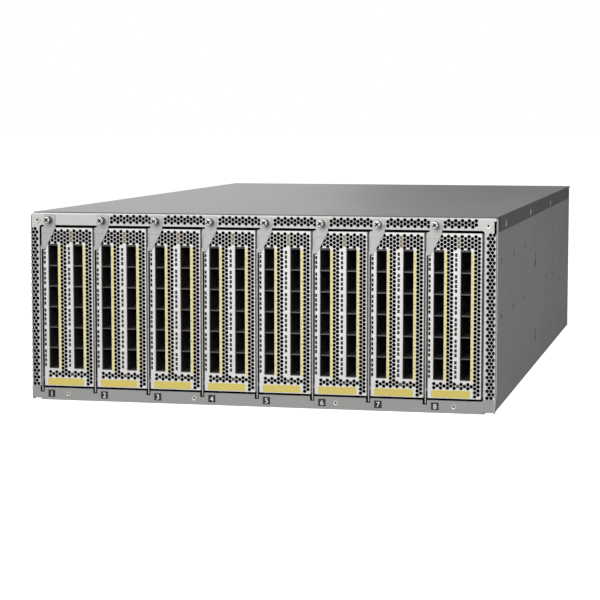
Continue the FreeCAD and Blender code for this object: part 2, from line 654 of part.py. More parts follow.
def chassis_screws():
    """Flush cover screws in the flanges, and the bezel's corner screws and rivets."""
    pieces = []
    for step in range(3):
        y = f"{FRONT} + cover_screw_start + {step} * cover_screw_pitch"
        z = "chassis_height - cover_screw_drop"
        for side, start, name in (("-", f"-{HALF}", "left"), ("", TUB_HALF, "right")):
            inner = f"-{TUB_HALF}" if side else f"{TUB_HALF} - 2 * tub_wall"
            head = flat_bar(f"side_head_{name}_{step}", 12, "X", "small_screw", "cover_wall", start, y, z)
            stem = flat_bar(f"side_stem_{name}_{step}", 6, "X", "small_screw / 2 - fit_clear",
                            "2 * tub_wall", inner, y, z)
            pieces.append(fuse(f"side_screw_{name}_{step}", [head, stem]))
    for index, (x, z) in enumerate(bezel_fasteners(), start=1):
        head = flat_bar(f"bezel_head_{index}", 12, "Y", "rivet_radius", "bezel_wall / 2",
                        x, f"{FRONT} - bezel_wall / 2", z)
        stem = flat_bar(f"bezel_stem_{index}", 6, "Y", "rivet_radius / 2", "bezel_wall", x, FRONT, z)
        pieces.append(fuse(f"bezel_screw_{index}", [head, stem]))
    parts.append(group("chassis_screws", pieces))


# ---------------------------------------------------------------- cards, in slot coordinates

def card_vents():
    """Vent fields of a faceplate: above and below the ports, and tall vents beside them."""
    across = value("vent_pitch") - value("vent_web")
    low = value(FRONT) - 1
    high = value(CARD_BACK) + 1
    edge = value("vent_web")
    column = value(FIRST_COLUMN)
    right = value(CARD_LEFT) + value("card_width") - value("card_wall") - edge
    ports_low, ports_high = value(PORTS_LOW), value(PORTS_HIGH)
    upper = lattice(value("flag_width") + edge, right, ports_high + edge, value(CARD_HIGH) - edge,
                    across, value("vent_pitch"))
    lower = lattice(column, right, ports_low - across - 3 * edge, ports_low - edge,
                    across, value("vent_pitch"))
    shapes = [hexagon(x, z, across, 0, low, high) for x, z in upper + lower]
    span = 3 * value("port_pitch")
    narrow = 0.6 * across
    tall = span - 2 * narrow / math.sqrt(3) - edge
    for x in (column + value("port_width") + edge, right - edge - narrow):
        for z in (ports_low + span / 2, ports_high - span / 2):
            shapes.append(hexagon(x + narrow, z, narrow, tall, low, high))
    return cutters("card_vents", shapes)


def faceplate():
    """Front of a card: a sheet with both sides folded back, port windows, vents and a pivot pin."""
    body = new_body("faceplate_sheet")
    right = f"({CARD_LEFT} + card_width)"
    fold = f"({FRONT} + card_return)"
    section = [
        (CARD_LEFT, FRONT), (right, FRONT), (right, fold), (f"{right} - card_wall", fold),
        (f"{right} - card_wall", CARD_BACK), (BOARD_LEFT, CARD_BACK), (BOARD_LEFT, fold),
        (CARD_LEFT, fold),
    ]
    pad(body, "faceplate_fold", "Z", CARD_LOW, CARD_HIGH, section)
    pin = flat_bar("pivot_pin", 12, "X", "pivot_radius", f"{CARD_LEFT} + run_clear + card_wall / 2",
              "-run_clear", PIVOT_Y, PIVOT_Z)
    windows = []
    for column in range(2):
        left = f"({FIRST_COLUMN} + {column} * column_pitch)"
        windows.append(box(f"window_{column + 1}", (left, f"{left} + port_width"),
                           (f"{FRONT} - 1", f"{CARD_BACK} + 1"), (PORTS_LOW, PORTS_HIGH)))
    whole = fuse("faceplate_pinned", [body, pin])
    in_slots("card_{}_faceplate", cut("faceplate", whole, windows + [card_vents()]))


def port_cages():
    """Two columns of cages: side walls, a wall between every two ports and a closed back."""
    walls = []
    start, stop = CARD_BACK, f"({CARD_BACK} + cage_depth)"
    tall = (f"{PORTS_LOW} - cage_divider / 2", f"{PORTS_HIGH} + cage_divider / 2")
    for column in range(2):
        left = f"({FIRST_COLUMN} + {column} * column_pitch)"
        right = f"({left} + port_width)"
        walls.append(box(f"cage_left_{column}", (f"{left} - cage_wall", left), (start, stop), tall))
        walls.append(box(f"cage_right_{column}", (right, f"{right} + cage_wall"), (start, stop), tall))
        walls.append(box(f"cage_back_{column}", (left, right), (f"{stop} - cage_wall", stop), tall))
        for step in range(count("port_count") + 1):
            level = f"({PORTS_LOW} + {step} * port_pitch)"
            walls.append(box(f"cage_divider_{column}_{step}", (left, right), (start, f"{stop} - cage_wall"),
                             (f"{level} - cage_divider / 2", f"{level} + cage_divider / 2")))
    in_slots("card_{}_cages", group("cages", walls))


def boards():
    """Main board with its heat sink and rear plug, and the second board on two pillars."""
    main = box("main_board", (BOARD_LEFT, BOARD_RIGHT), (CARD_BACK, BOARD_END), (CARD_LOW, CARD_HIGH))
    second_left = f"({BOARD_LEFT} + column_pitch)"
    upright = (f"{CARD_LOW} + guide_grip + 1", f"{CARD_HIGH} - guide_grip - 1")
    second = box("second_board", (second_left, f"{second_left} + board_wall"),
                 (CARD_BACK, f"{CARD_BACK} + 2 * cage_depth"), upright)
    plug = box("rear_plug", (BOARD_RIGHT, f"{BOARD_RIGHT} + plug_width"),
               (f"{PLUG_END} - plug_length", PLUG_END), (PLUG_LOW, f"{PLUG_LOW} + plug_height"))
    sink_span = (f"{CARD_BACK} + 2.3 * cage_depth", f"{CARD_BACK} + 3.7 * cage_depth")
    sink = [box("sink_base", (BOARD_RIGHT, f"{BOARD_RIGHT} + 2 * board_wall"), sink_span,
                (f"{PLUG_LOW}", f"{PLUG_LOW} + plug_height"))]
    fins = 5
    for index in range(fins):
        level = f"({PLUG_LOW} + {index} / {fins - 1} * (plug_height - board_wall))"
        sink.append(box(f"sink_fin_{index}", (f"{BOARD_RIGHT} + 2 * board_wall", f"{second_left}"),
                        sink_span, (level, f"{level} + board_wall")))
    pillars = []
    for name, height in (("low", "plug_height * 0.1"), ("high", "plug_height * 0.9")):
        pillars.append(flat_bar(f"pillar_{name}", 6, "X", "1.5 * board_wall",
                                f"{second_left} - {BOARD_RIGHT}", BOARD_RIGHT,
                                f"{CARD_BACK} + 1.5 * cage_depth", f"{PLUG_LOW} + {height}"))
    in_slots("card_{}_boards", group("card_boards", [main, second, plug] + sink + pillars))


def lever():
    """Ejector lever: an edge-on leg, a flag with a tab in front, and a prong for the bottom rail."""
    body = new_body("lever_sheet")
    prong = f"({PIVOT_Z} - prong_reach)"
    heel = f"({PIVOT_Y} + 2.2 * pivot_radius)"
    leg_top = f"({OPENING_HIGH} - 2 * card_clear)"
    leg = [
        (LEVER_FRONT, prong), (f"{LEVER_FRONT} + 0.8 * pivot_setback", prong),
        (f"{LEVER_FRONT} + pivot_setback", CARD_LOW), (heel, CARD_LOW),
        (heel, f"{PIVOT_Z} + 2.5 * pivot_radius"),
        (f"{FRONT} + lever_depth", f"{PIVOT_Z} + 10 * pivot_radius"),
        (f"{FRONT} + lever_depth", f"{leg_top} - 2 * flag_width"), (LEVER_FRONT, leg_top),
    ]
    pad(body, "lever_leg", "X", "0", "lever_wall", leg)
    top = "(chassis_height - flag_margin)"
    flag = [
        ("0", f"{leg_top} - 1.35 * flag_width"), ("flag_width * 0.32", f"{leg_top} - 1.27 * flag_width"),
        ("flag_width", leg_top), ("flag_width", f"{top} - lever_wall"), ("flag_width - lever_wall", top),
        ("tab_inset + lever_wall", top), ("tab_inset", f"{top} - lever_wall"),
        ("tab_inset", f"{leg_top} + 0.6 * tab_inset"), ("0.6 * tab_inset", f"{leg_top} + 0.1 * tab_inset"),
        ("0", leg_top),
    ]
    pad(body, "lever_flag", "Y", LEVER_FRONT, f"{LEVER_FRONT} + lever_wall", flag)
    hole = sketch_on(body, "lever_pivot_outline", "X", "0")
    ring(hole, PIVOT_Y, PIVOT_Z, "pivot_radius + fit_clear")
    pocket(body, "lever_pivot", "X", "0", "lever_wall", hole)
    hole = sketch_on(body, "lever_screw_outline", "Y", LEVER_FRONT)
    outline(hole, many_sided(TAB_MIDDLE, SCREW_Z, "shank_radius + 2 * fit_clear", 8))
    pocket(body, "lever_screw", "Y", LEVER_FRONT, f"{LEVER_FRONT} + lever_wall", hole)
    in_slots("card_{}_lever", body)


def thumbscrew():
    """Captive screw of a lever: a fluted head on a plain shank."""
    seat = f"({LEVER_FRONT} - run_clear)"
    head = flat_bar("thumbscrew_head", 12, "Y", "knob_radius", "knob_length", TAB_MIDDLE,
                    f"{seat} - knob_length", SCREW_Z)
    shank = flat_bar("thumbscrew_shank", 8, "Y", "shank_radius", f"{FRONT} + screw_reach - {seat}",
                     TAB_MIDDLE, seat, SCREW_Z)
    in_slots("card_{}_thumbscrew", fuse("thumbscrew", [head, shank]))


# ---------------------------------------------------------------- rear modules, about a bay's middle

def pull_handle(name, x, low, high):
    """A bow handle that stands out behind a module."""
    back = f"({MODULE_BACK} + handle_reach)"
    wide = (f"({x}) - handle_bar / 2", f"({x}) + handle_bar / 2")
    bar = box(f"{name}_bow", wide, (MODULE_BACK, back), (low, high))
    gap = box(f"{name}_grip", (f"{wide[0]} - 1", f"{wide[1]} + 1"),
              (f"{MODULE_BACK} - 1", f"{back} - handle_bar"),
              (f"({low}) + handle_bar", f"({high}) - handle_bar"))
    return cut(f"{name}_handle", bar, [gap])


def power_supply():
    """A sealed supply with a power inlet, an exhaust of tall vents, a handle and a latch slot."""
    middle = f"({SUPPLY_LOW} + supply_height / 2)"
    left, right = f"(-{MODULE_HALF})", MODULE_HALF
    case = box("supply_case", (left, right), (f"{REAR} - supply_depth", MODULE_BACK),
               (SUPPLY_LOW, SUPPLY_HIGH))
    inlet = box("inlet", (f"{left} + inlet_inset", f"{left} + inlet_inset + inlet_width"),
                (f"{MODULE_BACK} - inlet_depth", f"{MODULE_BACK} + 1"),
                (f"{middle} - inlet_height / 2", f"{middle} + inlet_height / 2"))
    across = value("vent_pitch") - value("vent_web")
    first = value(f"{left} + inlet_inset + inlet_width + vent_pitch")
    back = value(MODULE_BACK)
    exhaust = [hexagon(first + index * value("vent_pitch"), value(middle), across,
                       value("inlet_height"), back - value("latch_depth"), back + 1)
               for index in range(count("exhaust_count"))]
    key = f"({right} - latch_inset)"
    well = box("latch_slot", (f"{key} - latch_travel - run_clear", f"{key} + latch_width + run_clear"),
               (f"{MODULE_BACK} - latch_depth", f"{MODULE_BACK} + 1"),
               (f"{middle} - latch_height / 2 - run_clear", f"{middle} + latch_height / 2 + run_clear"))
    handle = pull_handle("supply", f"{right} - handle_inset", f"{SUPPLY_LOW} + handle_margin",
                         f"{SUPPLY_HIGH} - handle_margin")
    opened = cut("supply_open", case, [inlet, cutters("supply_vents", exhaust), well])
    copies("psu_{}_body", fuse("supply", [opened, handle]), count("bay_count"), BAY_PITCH)
    button = box("latch_button", (key, f"{key} + latch_width"),
                 (f"{MODULE_BACK} - latch_depth + run_clear", f"{MODULE_BACK} + latch_proud"),
                 (f"{middle} - latch_height / 2", f"{middle} + latch_height / 2"))
    copies("psu_{}_latch", button, count("bay_count"), BAY_PITCH)


def fan_tray():
    """A square duct with a round air way, a slotted finger guard, arms, a spindle and a handle."""
    front = f"({REAR} - fan_depth)"
    block = box("tray_block", (f"-{MODULE_HALF}", MODULE_HALF), (front, MODULE_BACK),
                (FAN_LOW, FAN_HIGH))
    tools = [rod("tray_bore", "Y", "fan_radius", "fan_depth + module_proud - guard_bar + 1", "0",
                 f"{front} - 1", FAN_MIDDLE)]
    for index in range(-2, 3):
        level = f"({FAN_MIDDLE} + {index} * guard_pitch)"
        half_height = "((guard_pitch - guard_bar) / 2)"
        edge = f"({abs(index)} * guard_pitch + {half_height})"
        half_width = f"sqrt((fan_radius - guard_bar - {edge}) * (fan_radius - guard_bar + {edge}))"
        tools.append(box(f"guard_slot_{index + 3}", (f"-{half_width}", half_width),
                         (f"{MODULE_BACK} - guard_bar - 1", f"{MODULE_BACK} + 1"),
                         (f"{level} - {half_height}", f"{level} + {half_height}")))
    duct = cut("tray_duct", block, tools)
    plate = flat_bar("motor_plate", 12, "Y", "hub_radius", "spoke_width", "0", front, FAN_MIDDLE)
    spindle = flat_bar("spindle", 12, "Y", "spindle_radius", "spoke_width + hub_length", "0", front,
                       FAN_MIDDLE)
    reach = "(fan_radius + spoke_width / 2)"
    half = "spoke_width / 2"
    level_arm = box("arm_level", (f"-{reach}", reach), (front, f"{front} + spoke_width"),
                    (f"{FAN_MIDDLE} - {half}", f"{FAN_MIDDLE} + {half}"))
    upright_arm = box("arm_upright", (f"-{half}", half), (front, f"{front} + spoke_width"),
                      (f"{FAN_MIDDLE} - {reach}", f"{FAN_MIDDLE} + {reach}"))
    handle = pull_handle("tray", f"{MODULE_HALF} - handle_inset", f"{FAN_MIDDLE} - fan_radius / 2",
                         f"{FAN_MIDDLE} + fan_radius / 2")
    tray = fuse("tray", [duct, plate, spindle, level_arm, upright_arm, handle])
    copies("fan_{}_tray", tray, count("bay_count"), BAY_PITCH)


def fan_rotor():
    """A hub with pitched blades that turns on the tray's spindle."""
    start = f"({REAR} - fan_depth + spoke_width + run_clear)"
    end = f"({start} + hub_length)"
    body = new_body("rotor_body")
    pad(body, "hub", "Y", start, end, many_sided("0", "0", "hub_radius", 14))
    low, high = f"({start} + blade_wall)", f"({end} - blade_wall)"
    edge = "blade_chord / 2"
    blade = [(f"-{edge}", low), (edge, f"{high} - blade_wall"), (edge, high),
             (f"-{edge}", f"{low} + blade_wall")]
    vane = pad(body, "blade", "Z", "0.9 * hub_radius", "0.97 * (fan_radius - tip_clear)", blade)
    spread = body.newObject("PartDesign::PolarPattern", "blades")
    spread.Originals = [vane]
    spin = next(item for item in body.Origin.OriginFeatures if item.Role == "Y_Axis")
    spread.Axis = (spin, [""])
    spread.Angle = 360
    spread.setExpression("Occurrences", formula("blade_count"))
    body.Tip = spread
    bore = sketch_on(body, "bore_outline", "Y", start)
    ring(bore, "0", "0", "spindle_radius + fit_clear")
    pocket(body, "bore", "Y", start, end, bore)
    rotor = place(group("rotor", [body]), z=FAN_MIDDLE)
    copies("fan_{}_rotor", rotor, count("bay_count"), BAY_PITCH)


# ---------------------------------------------------------------- build, check, write

def check():
    """Stop if any object failed or any sub-part has no valid shape."""
    for item in doc.Objects:
        if any(word in item.State for word in ("Invalid", "Error")):
            raise RuntimeError(f"{item.Name} failed to compute: {item.State}")
    for part in parts:
        if part.Shape.isNull() or not part.Shape.isValid() or not part.Shape.Solids:
            raise RuntimeError(f"{part.Label} has no valid shape")


def write():
    """Write every sub-part to a file of its own."""
    os.makedirs("parts", exist_ok=True)
    for part in parts:
        part.Shape.exportStep(f"parts/{part.Label}.step")


parts = []
fill_sheet()
for make in (chassis_tub, top_cover, front_bezel, card_guides, midplane, rear_frame, chassis_screws,
             faceplate, port_cages, boards, lever, thumbscrew, power_supply, fan_tray, fan_rotor):
    make()
doc.recompute()
check()
write()
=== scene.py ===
"""Dresses the modular chassis switch: true vents, port fronts, levers, screws, labels and finishes.

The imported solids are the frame. Sheets whose vents are coarse in the solids are replaced by sheets
with vents at their real pitch, and the rest of the solids keep their shape and get finishes.
"""
import json
import logging
import math
from dataclasses import dataclass, field
from enum import Enum
from typing import Callable, Iterable

import bpy
from mathutils import Matrix, Vector


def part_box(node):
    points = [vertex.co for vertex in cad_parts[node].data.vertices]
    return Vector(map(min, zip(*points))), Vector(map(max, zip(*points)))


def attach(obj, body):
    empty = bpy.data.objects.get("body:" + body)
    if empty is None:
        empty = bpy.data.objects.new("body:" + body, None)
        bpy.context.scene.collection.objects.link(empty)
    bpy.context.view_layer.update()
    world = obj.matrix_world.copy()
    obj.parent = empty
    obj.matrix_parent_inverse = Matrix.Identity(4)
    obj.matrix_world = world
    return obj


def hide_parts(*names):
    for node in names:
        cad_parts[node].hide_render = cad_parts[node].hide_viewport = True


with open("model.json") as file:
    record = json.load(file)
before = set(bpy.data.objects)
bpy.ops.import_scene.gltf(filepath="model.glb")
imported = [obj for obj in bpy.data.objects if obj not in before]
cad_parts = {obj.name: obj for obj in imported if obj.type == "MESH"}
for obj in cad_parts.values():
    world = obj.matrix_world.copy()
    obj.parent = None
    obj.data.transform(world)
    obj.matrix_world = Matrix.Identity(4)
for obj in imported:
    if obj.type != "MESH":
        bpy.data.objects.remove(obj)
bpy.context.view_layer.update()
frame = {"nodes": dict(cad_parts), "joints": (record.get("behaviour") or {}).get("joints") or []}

LOG = logging.getLogger("chassis_switch")
CARDS = 8
BAYS = 3
Point = tuple[float, float, float]
Piece = bpy.types.Object
Test = Callable[[Vector, Vector], bool]


def mm(length: float) -> float:
    """Millimetres as metres."""
    return length / 1000


def up(rise: float) -> Point:
    """A step straight up."""
    return (0.0, 0.0, rise)


def inward(depth: float) -> Point:
    """A step from the front towards the rear."""
    return (0.0, depth, 0.0)


# Faces and edges count as lying on a level when they are this near it.
NEAR = mm(0.01)
# Steepness from which a face counts as facing a way, and from which it counts as square to it.
FACING = 0.5
SQUARE = 0.9
# Turn of the cards' and the rail's vents against the posts' vents.
VENT_TURN = math.radians(30)


# ---------------------------------------------------------------- finishes

def linear(code: str) -> tuple[float, float, float, float]:
    """Turn six sRGB hex digits to a linear colour with full alpha."""
    channels = [int(code[place:place + 2], 16) / 255 for place in (0, 2, 4)]
    bent = [c / 12.92 if c <= 0.04045 else ((c + 0.055) / 1.055) ** 2.4 for c in channels]
    return (bent[0], bent[1], bent[2], 1.0)


def grey(level: float) -> tuple[float, float, float, float]:
    """A linear grey with full alpha."""
    return (level, level, level, 1.0)


def add_node(tree: bpy.types.NodeTree, kind: str, settings: dict | None = None,
             links: dict | None = None) -> bpy.types.Node:
    """Add a shader node.

    Args:
        tree: Node tree of the material or world.
        kind: Node class name.
        settings: Attribute names, or input names after "in:", with their values.
        links: Input names with the output sockets that feed them.

    Returns:
        The new node.
    """
    item = tree.nodes.new(kind)
    for name, value in (settings or {}).items():
        if name.startswith("in:"):
            key = name[3:]
            item.inputs[int(key) if key.isdigit() else key].default_value = value
        else:
            setattr(item, name, value)
    for name, socket in (links or {}).items():
        tree.links.new(socket, item.inputs[int(name) if name.isdigit() else name])
    return item


class Grain(Enum):
    """How a finish's pattern runs, as the stretch of its noise along X, Y and Z."""

    ROLLED = (1.0, 0.06, 1.0)
    UPRIGHT = (1.0, 1.0, 0.05)
    EVEN = (1.0, 1.0, 1.0)


@dataclass(frozen=True)
class Finish:
    """One surface finish: two close colours, mottled at a real grain size, with bump and gloss."""

    name: str
    light: str
    dark: str
    grain_mm: float = 1.0
    metallic: float = 0.0
    roughness: float = 0.5
    spread: float = 0.08
    bump: float = 0.05
    specular: float = 0.5
    grain: Grain = Grain.EVEN

    def material(self) -> bpy.types.Material:
        """Build the material once and hand the same one out after that.

        Returns:
            The finish as a node material.
        """
        known = bpy.data.materials.get(self.name)
        if known:
            return known
        made = bpy.data.materials.new(self.name)
        made.use_nodes = True
        tree = made.node_tree
        tree.nodes.clear()
        place = add_node(tree, "ShaderNodeTexCoord")
        scale = tuple(stretch / mm(self.grain_mm) for stretch in self.grain.value)
        spaced = add_node(tree, "ShaderNodeMapping", {"in:Scale": scale},
                          {"Vector": place.outputs["Object"]})
        fine = add_node(tree, "ShaderNodeTexNoise", {"in:Scale": 1.0, "in:Detail": 3.0},
                        {"Vector": spaced.outputs["Vector"]})
        broad = add_node(tree, "ShaderNodeTexNoise", {"in:Scale": 9.0, "in:Detail": 2.0},
                         {"Vector": place.outputs["Object"]})
        both = add_node(tree, "ShaderNodeMath", {"operation": "ADD"},
                        {"0": fine.outputs["Fac"], "1": broad.outputs["Fac"]})
        share = add_node(tree, "ShaderNodeMapRange", {"in:1": 0.6, "in:2": 1.4},
                         {"0": both.outputs[0]})
        colour = add_node(tree, "ShaderNodeMix", {"data_type": "RGBA", "in:6": linear(self.dark),
                                                  "in:7": linear(self.light)},
                          {"0": share.outputs[0]})
        gloss = add_node(tree, "ShaderNodeMapRange",
                         {"in:3": self.roughness - self.spread, "in:4": self.roughness + self.spread},
                         {"0": fine.outputs["Fac"]})
        relief = add_node(tree, "ShaderNodeBump", {"in:Strength": self.bump, "in:Distance": mm(0.2)},
                          {"Height": fine.outputs["Fac"]})
        shader = add_node(tree, "ShaderNodeBsdfPrincipled",
                          {"in:Metallic": self.metallic, "in:Specular IOR Level": self.specular},
                          {"Base Color": colour.outputs[2], "Roughness": gloss.outputs[0],
                           "Normal": relief.outputs["Normal"]})
        add_node(tree, "ShaderNodeOutputMaterial", None, {"Surface": shader.outputs["BSDF"]})
        return made


# Nickel-plated sheet, punched and folded: pale, with a soft even shine and a fine upright grain.
FACE_SHEET = Finish("nickel_plated_face_sheet", "F0EFED", "E4E3E1", 0.7, 0.25, 0.42, grain=Grain.UPRIGHT)
BEZEL_SHEET = Finish("nickel_plated_bezel", "D6D5D3", "CAC9C7", 0.7, 0.12, 0.46, grain=Grain.UPRIGHT)
# The bezel's top bend: a painted highlight, brighter and glossier than the rest.
BEND_HIGHLIGHT = Finish("painted_bend_highlight", "F6F6F4", "EAEAE8", 0.8, 0.2, 0.3, grain=Grain.ROLLED)
# The same sheet on the bottom rail, greyer and duller.
RAIL_SHEET = Finish("nickel_plated_rail", "A6A6A4", "9C9C9A", 0.8, 0.1, 0.55, grain=Grain.ROLLED)
# Hot-dip zinc sheet: mid grey, dull, with broad soft clouds and rolling marks front to rear. A
# darker copy paints shade on the cover's flanges and front edge and on the thumbscrews' fluted sides.
COVER_ZINC = Finish("zinc_cover_sheet", "A6A6A5", "9A9A99", 1.2, 0.4, 0.5, grain=Grain.ROLLED)
SHADE_ZINC = Finish("zinc_painted_shade", "5C5B59", "52514F", 1.2, 0.4, 0.5, grain=Grain.ROLLED)
BODY_ZINC = Finish("zinc_body_sheet", "8C8B89", "807F7D", 1.2, 0.4, 0.5, grain=Grain.ROLLED)
# Stamped stainless lever: a shade darker than the plated sheet behind it, with a satin grain.
LEVER_STEEL = Finish("stamped_stainless_lever", "C8C8C6", "BCBCBA", 0.4, 0.35, 0.34, grain=Grain.UPRIGHT)
# Turned and plated screws: bright, with a fine soft grain.
SCREW_PLATE = Finish("bright_plated_screw", "E6E6E4", "D2D2CF", 0.3, 0.35, 0.3)
# Tin-plated cages, dulled and dark.
CAGE_TIN = Finish("tin_plated_cage", "6C6B69", "5C5B59", 0.6, 0.6, 0.4, grain=Grain.ROLLED)
# Flat black that soaks up nearly all light: painted shade behind vents, in gaps and on recess floors.
SHADE_BLACK = Finish("painted_shade_black", "0A0A0A", "050505", 0.8, 0.0, 0.9, 0.05, 0.2, 0.0)
# Paper labels under clear film: warm yellow, silky.
STRIP_YELLOW = Finish("printed_yellow_strip", "F2E7A4", "ECDF97", 0.4, 0.0, 0.55)
PLATE_OCHRE = Finish("printed_ochre_plate", "E2D070", "D9C562", 0.4, 0.0, 0.55)
NUMBER_BLACK = Finish("printed_number_black", "262626", "1E1E1E", 0.3, 0.0, 0.5)
NUMBER_WHITE = Finish("printed_number_white", "FAFAF8", "F2F2F0", 0.3, 0.0, 0.5)
# Light pipes, unlit: smoky amber and grey acrylic.
LIGHT_AMBER = Finish("amber_light_pipe", "9B8F6A", "857956", 0.4, 0.0, 0.3)
LIGHT_GREY = Finish("grey_light_pipe", "5A5A58", "4A4A48", 0.4, 0.0, 0.3)
# Boards, guides and the rear modules.
BOARD_GREEN = Finish("solder_masked_board", "1E4A2E", "173E26", 1.5, 0.0, 0.4)
# The guides' black is also the painted shade on the levers' flanks.
GUIDE_AND_SHADE_BLACK = Finish("moulded_black_and_painted_shade", "262626", "1C1C1C", 0.5, 0.0, 0.55)
MODULE_ZINC = Finish("zinc_module_sheet", "A2A2A0", "969694", 1.0, 0.4, 0.46, grain=Grain.ROLLED)
TRAY_BLACK = Finish("glass_filled_tray", "2C2C2D", "232324", 0.6, 0.0, 0.58)
ROTOR_BLACK = Finish("glass_filled_rotor", "1B1B1C", "131314", 0.6, 0.0, 0.5)
LATCH_ORANGE = Finish("moulded_latch", "B4672C", "A65C24", 0.5, 0.0, 0.48)


# ---------------------------------------------------------------- bench tools

def take(*pieces: Piece) -> None:
    """Select only these pieces and make the first one active."""
    bpy.ops.object.select_all(action="DESELECT")
    for piece in pieces:
        piece.select_set(True)
    bpy.context.view_layer.objects.active = pieces[0]


def settle(piece: Piece, name: str) -> Piece:
    """Name a new piece and move its place into its mesh."""
    piece.name = name
    take(piece)
    bpy.ops.object.transform_apply(location=True, rotation=True, scale=True)
    return piece


def block(name: str, start: Iterable[float], end: Iterable[float]) -> Piece:
    """Add a block between any two opposite corners, in metres."""
    start, end = Vector(start), Vector(end)
    size = tuple(abs(reach) for reach in end - start)
    bpy.ops.object.select_all(action="DESELECT")
    bpy.ops.mesh.primitive_cube_add(size=1, location=(start + end) / 2, scale=size)
    return settle(bpy.context.object, name)


def prism(name: str, sides: int, radius: float, start: Iterable[float], reach: Iterable[float],
          turn: float = 0.0) -> Piece:
    """Add a prism or cylinder.

    Args:
        name: Name of the piece.
        sides: Number of its sides.
        radius: Radius to the corners, in metres.
        start: Middle of its first end.
        reach: Vector from the first end to the other.
        turn: Turn about its own axis, in radians.

    Returns:
        The piece, with its place in its mesh.
    """
    start, reach = Vector(start), Vector(reach)
    lie = reach.to_track_quat("Z", "Y").to_matrix() @ Matrix.Rotation(turn, 3, "Z")
    bpy.ops.object.select_all(action="DESELECT")
    bpy.ops.mesh.primitive_cylinder_add(vertices=sides, radius=radius, depth=reach.length,
                                        location=start + reach / 2, rotation=lie.to_euler())
    return settle(bpy.context.object, name)


def use(piece: Piece, kind: str, **settings: object) -> None:
    """Add a modifier, set it and apply it."""
    take(piece)
    tool = piece.modifiers.new(kind.lower(), kind)
    for name, value in settings.items():
        setattr(tool, name, value)
    bpy.ops.object.modifier_apply(modifier=tool.name)


def repeat(piece: Piece, step: Iterable[float], number: int) -> None:
    """Repeat a piece in a row."""
    use(piece, "ARRAY", use_relative_offset=False, use_constant_offset=True,
        constant_offset_displace=tuple(step), count=number)


def cut(piece: Piece, *cutters: Piece) -> None:
    """Take cutters out of a piece and throw them away."""
    for cutter in cutters:
        use(piece, "BOOLEAN", operation="DIFFERENCE", solver="MANIFOLD", object=cutter)
        bpy.data.objects.remove(cutter)


def merge(piece: Piece, addition: Piece) -> None:
    """Melt an addition into a piece."""
    use(piece, "BOOLEAN", operation="UNION", solver="MANIFOLD", object=addition)
    bpy.data.objects.remove(addition)


def join(name: str, pieces: list[Piece]) -> Piece:
    """Join pieces into the first one."""
    take(*pieces)
    if len(pieces) > 1:
        bpy.ops.object.join()
    pieces[0].name = name
    return pieces[0]


def ease(piece: Piece, width: float, segments: int = 2, angle: float = 35.0) -> None:
    """Break a piece's sharp edges."""
    use(piece, "BEVEL", width=width, segments=segments, limit_method="ANGLE",
        angle_limit=math.radians(angle), harden_normals=False)


def soften(piece: Piece, angle: float = 30.0) -> None:
    """Shade a piece smooth where its faces meet gently."""
    take(piece)
    bpy.ops.object.shade_smooth_by_angle(angle=math.radians(angle))


def edit_all(piece: Piece) -> None:
    """Enter edit mode with the whole piece selected."""
    take(piece)
    bpy.ops.object.mode_set(mode="EDIT")
    bpy.ops.mesh.select_all(action="SELECT")


def choose_none(piece: Piece, kind: str) -> None:
    """Set the piece to choosing its faces or its edges, with none chosen yet."""
    take(piece)
    bpy.ops.object.mode_set(mode="EDIT")
    bpy.ops.mesh.select_mode(type=kind)
    bpy.ops.mesh.select_all(action="DESELECT")
    bpy.ops.object.mode_set(mode="OBJECT")


def edit_faces(piece: Piece, test: Test) -> None:
    """Enter edit mode with the faces chosen by their centre and normal."""
    choose_none(piece, "FACE")
    for face in piece.data.polygons:
        face.select = test(face.center, face.normal)
    bpy.ops.object.mode_set(mode="EDIT")


def edit_edges(piece: Piece, test: Test) -> None:
    """Enter edit mode with the edges chosen by their two ends."""
    choose_none(piece, "EDGE")
    spots = piece.data.vertices
    for edge in piece.data.edges:
        first, second = edge.vertices
        edge.select = test(spots[first].co, spots[second].co)
    bpy.ops.object.mode_set(mode="EDIT")


def done_editing() -> None:
    """Leave edit mode."""
    bpy.ops.object.mode_set(mode="OBJECT")


def round_edges(piece: Piece, test: Test, offset: float, segments: int) -> None:
    """Round the edges chosen by their two ends, from an offset in metres and in some steps."""
    edit_edges(piece, test)
    bpy.ops.mesh.bevel(offset=offset, segments=segments, affect="EDGES")
    done_editing()


def open_faces(piece: Piece, test: Test) -> None:
    """Take away the faces chosen by their centre and normal, which leaves a thin skin to fold."""
    edit_faces(piece, test)
    bpy.ops.mesh.delete(type="FACE")
    done_editing()


def swing(piece: Piece, degrees: float, axis: str, pivot: Iterable[float]) -> None:
    """Turn a piece's mesh about a line through a pivot, along X, Y or Z."""
    edit_all(piece)
    bpy.ops.transform.rotate(value=math.radians(degrees), orient_axis=axis, center_override=tuple(pivot))
    done_editing()


def dress(piece: Piece, finish: Finish) -> None:
    """Give a new piece one finish."""
    piece.data.materials.clear()
    piece.data.materials.append(finish.material())


def group(name: str, pieces: list[Piece], finish: Finish) -> Piece:
    """Join pieces into one and give it one finish."""
    whole = join(name, pieces)
    dress(whole, finish)
    return whole


def tint(piece: Piece, finish: Finish, test: Test) -> None:
    """Give a second finish to the faces chosen by their centre and normal."""
    piece.data.materials.append(finish.material())
    for face in piece.data.polygons:
        if test(face.center, face.normal):
            face.material_index = len(piece.data.materials) - 1


def dress_node(name: str, finish: Finish) -> None:
    """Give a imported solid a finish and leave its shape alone."""
    for place in frame["nodes"][name].material_slots:
        place.material = finish.material()


def copy_to(piece: Piece, name: str, shift: Iterable[float]) -> Piece:
    """Copy a piece with a mesh of its own, moved inside that mesh."""
    twin = piece.copy()
    twin.data = piece.data.copy()
    twin.name = name
    bpy.context.collection.objects.link(twin)
    twin.data.transform(Matrix.Translation(Vector(shift)))
    return twin


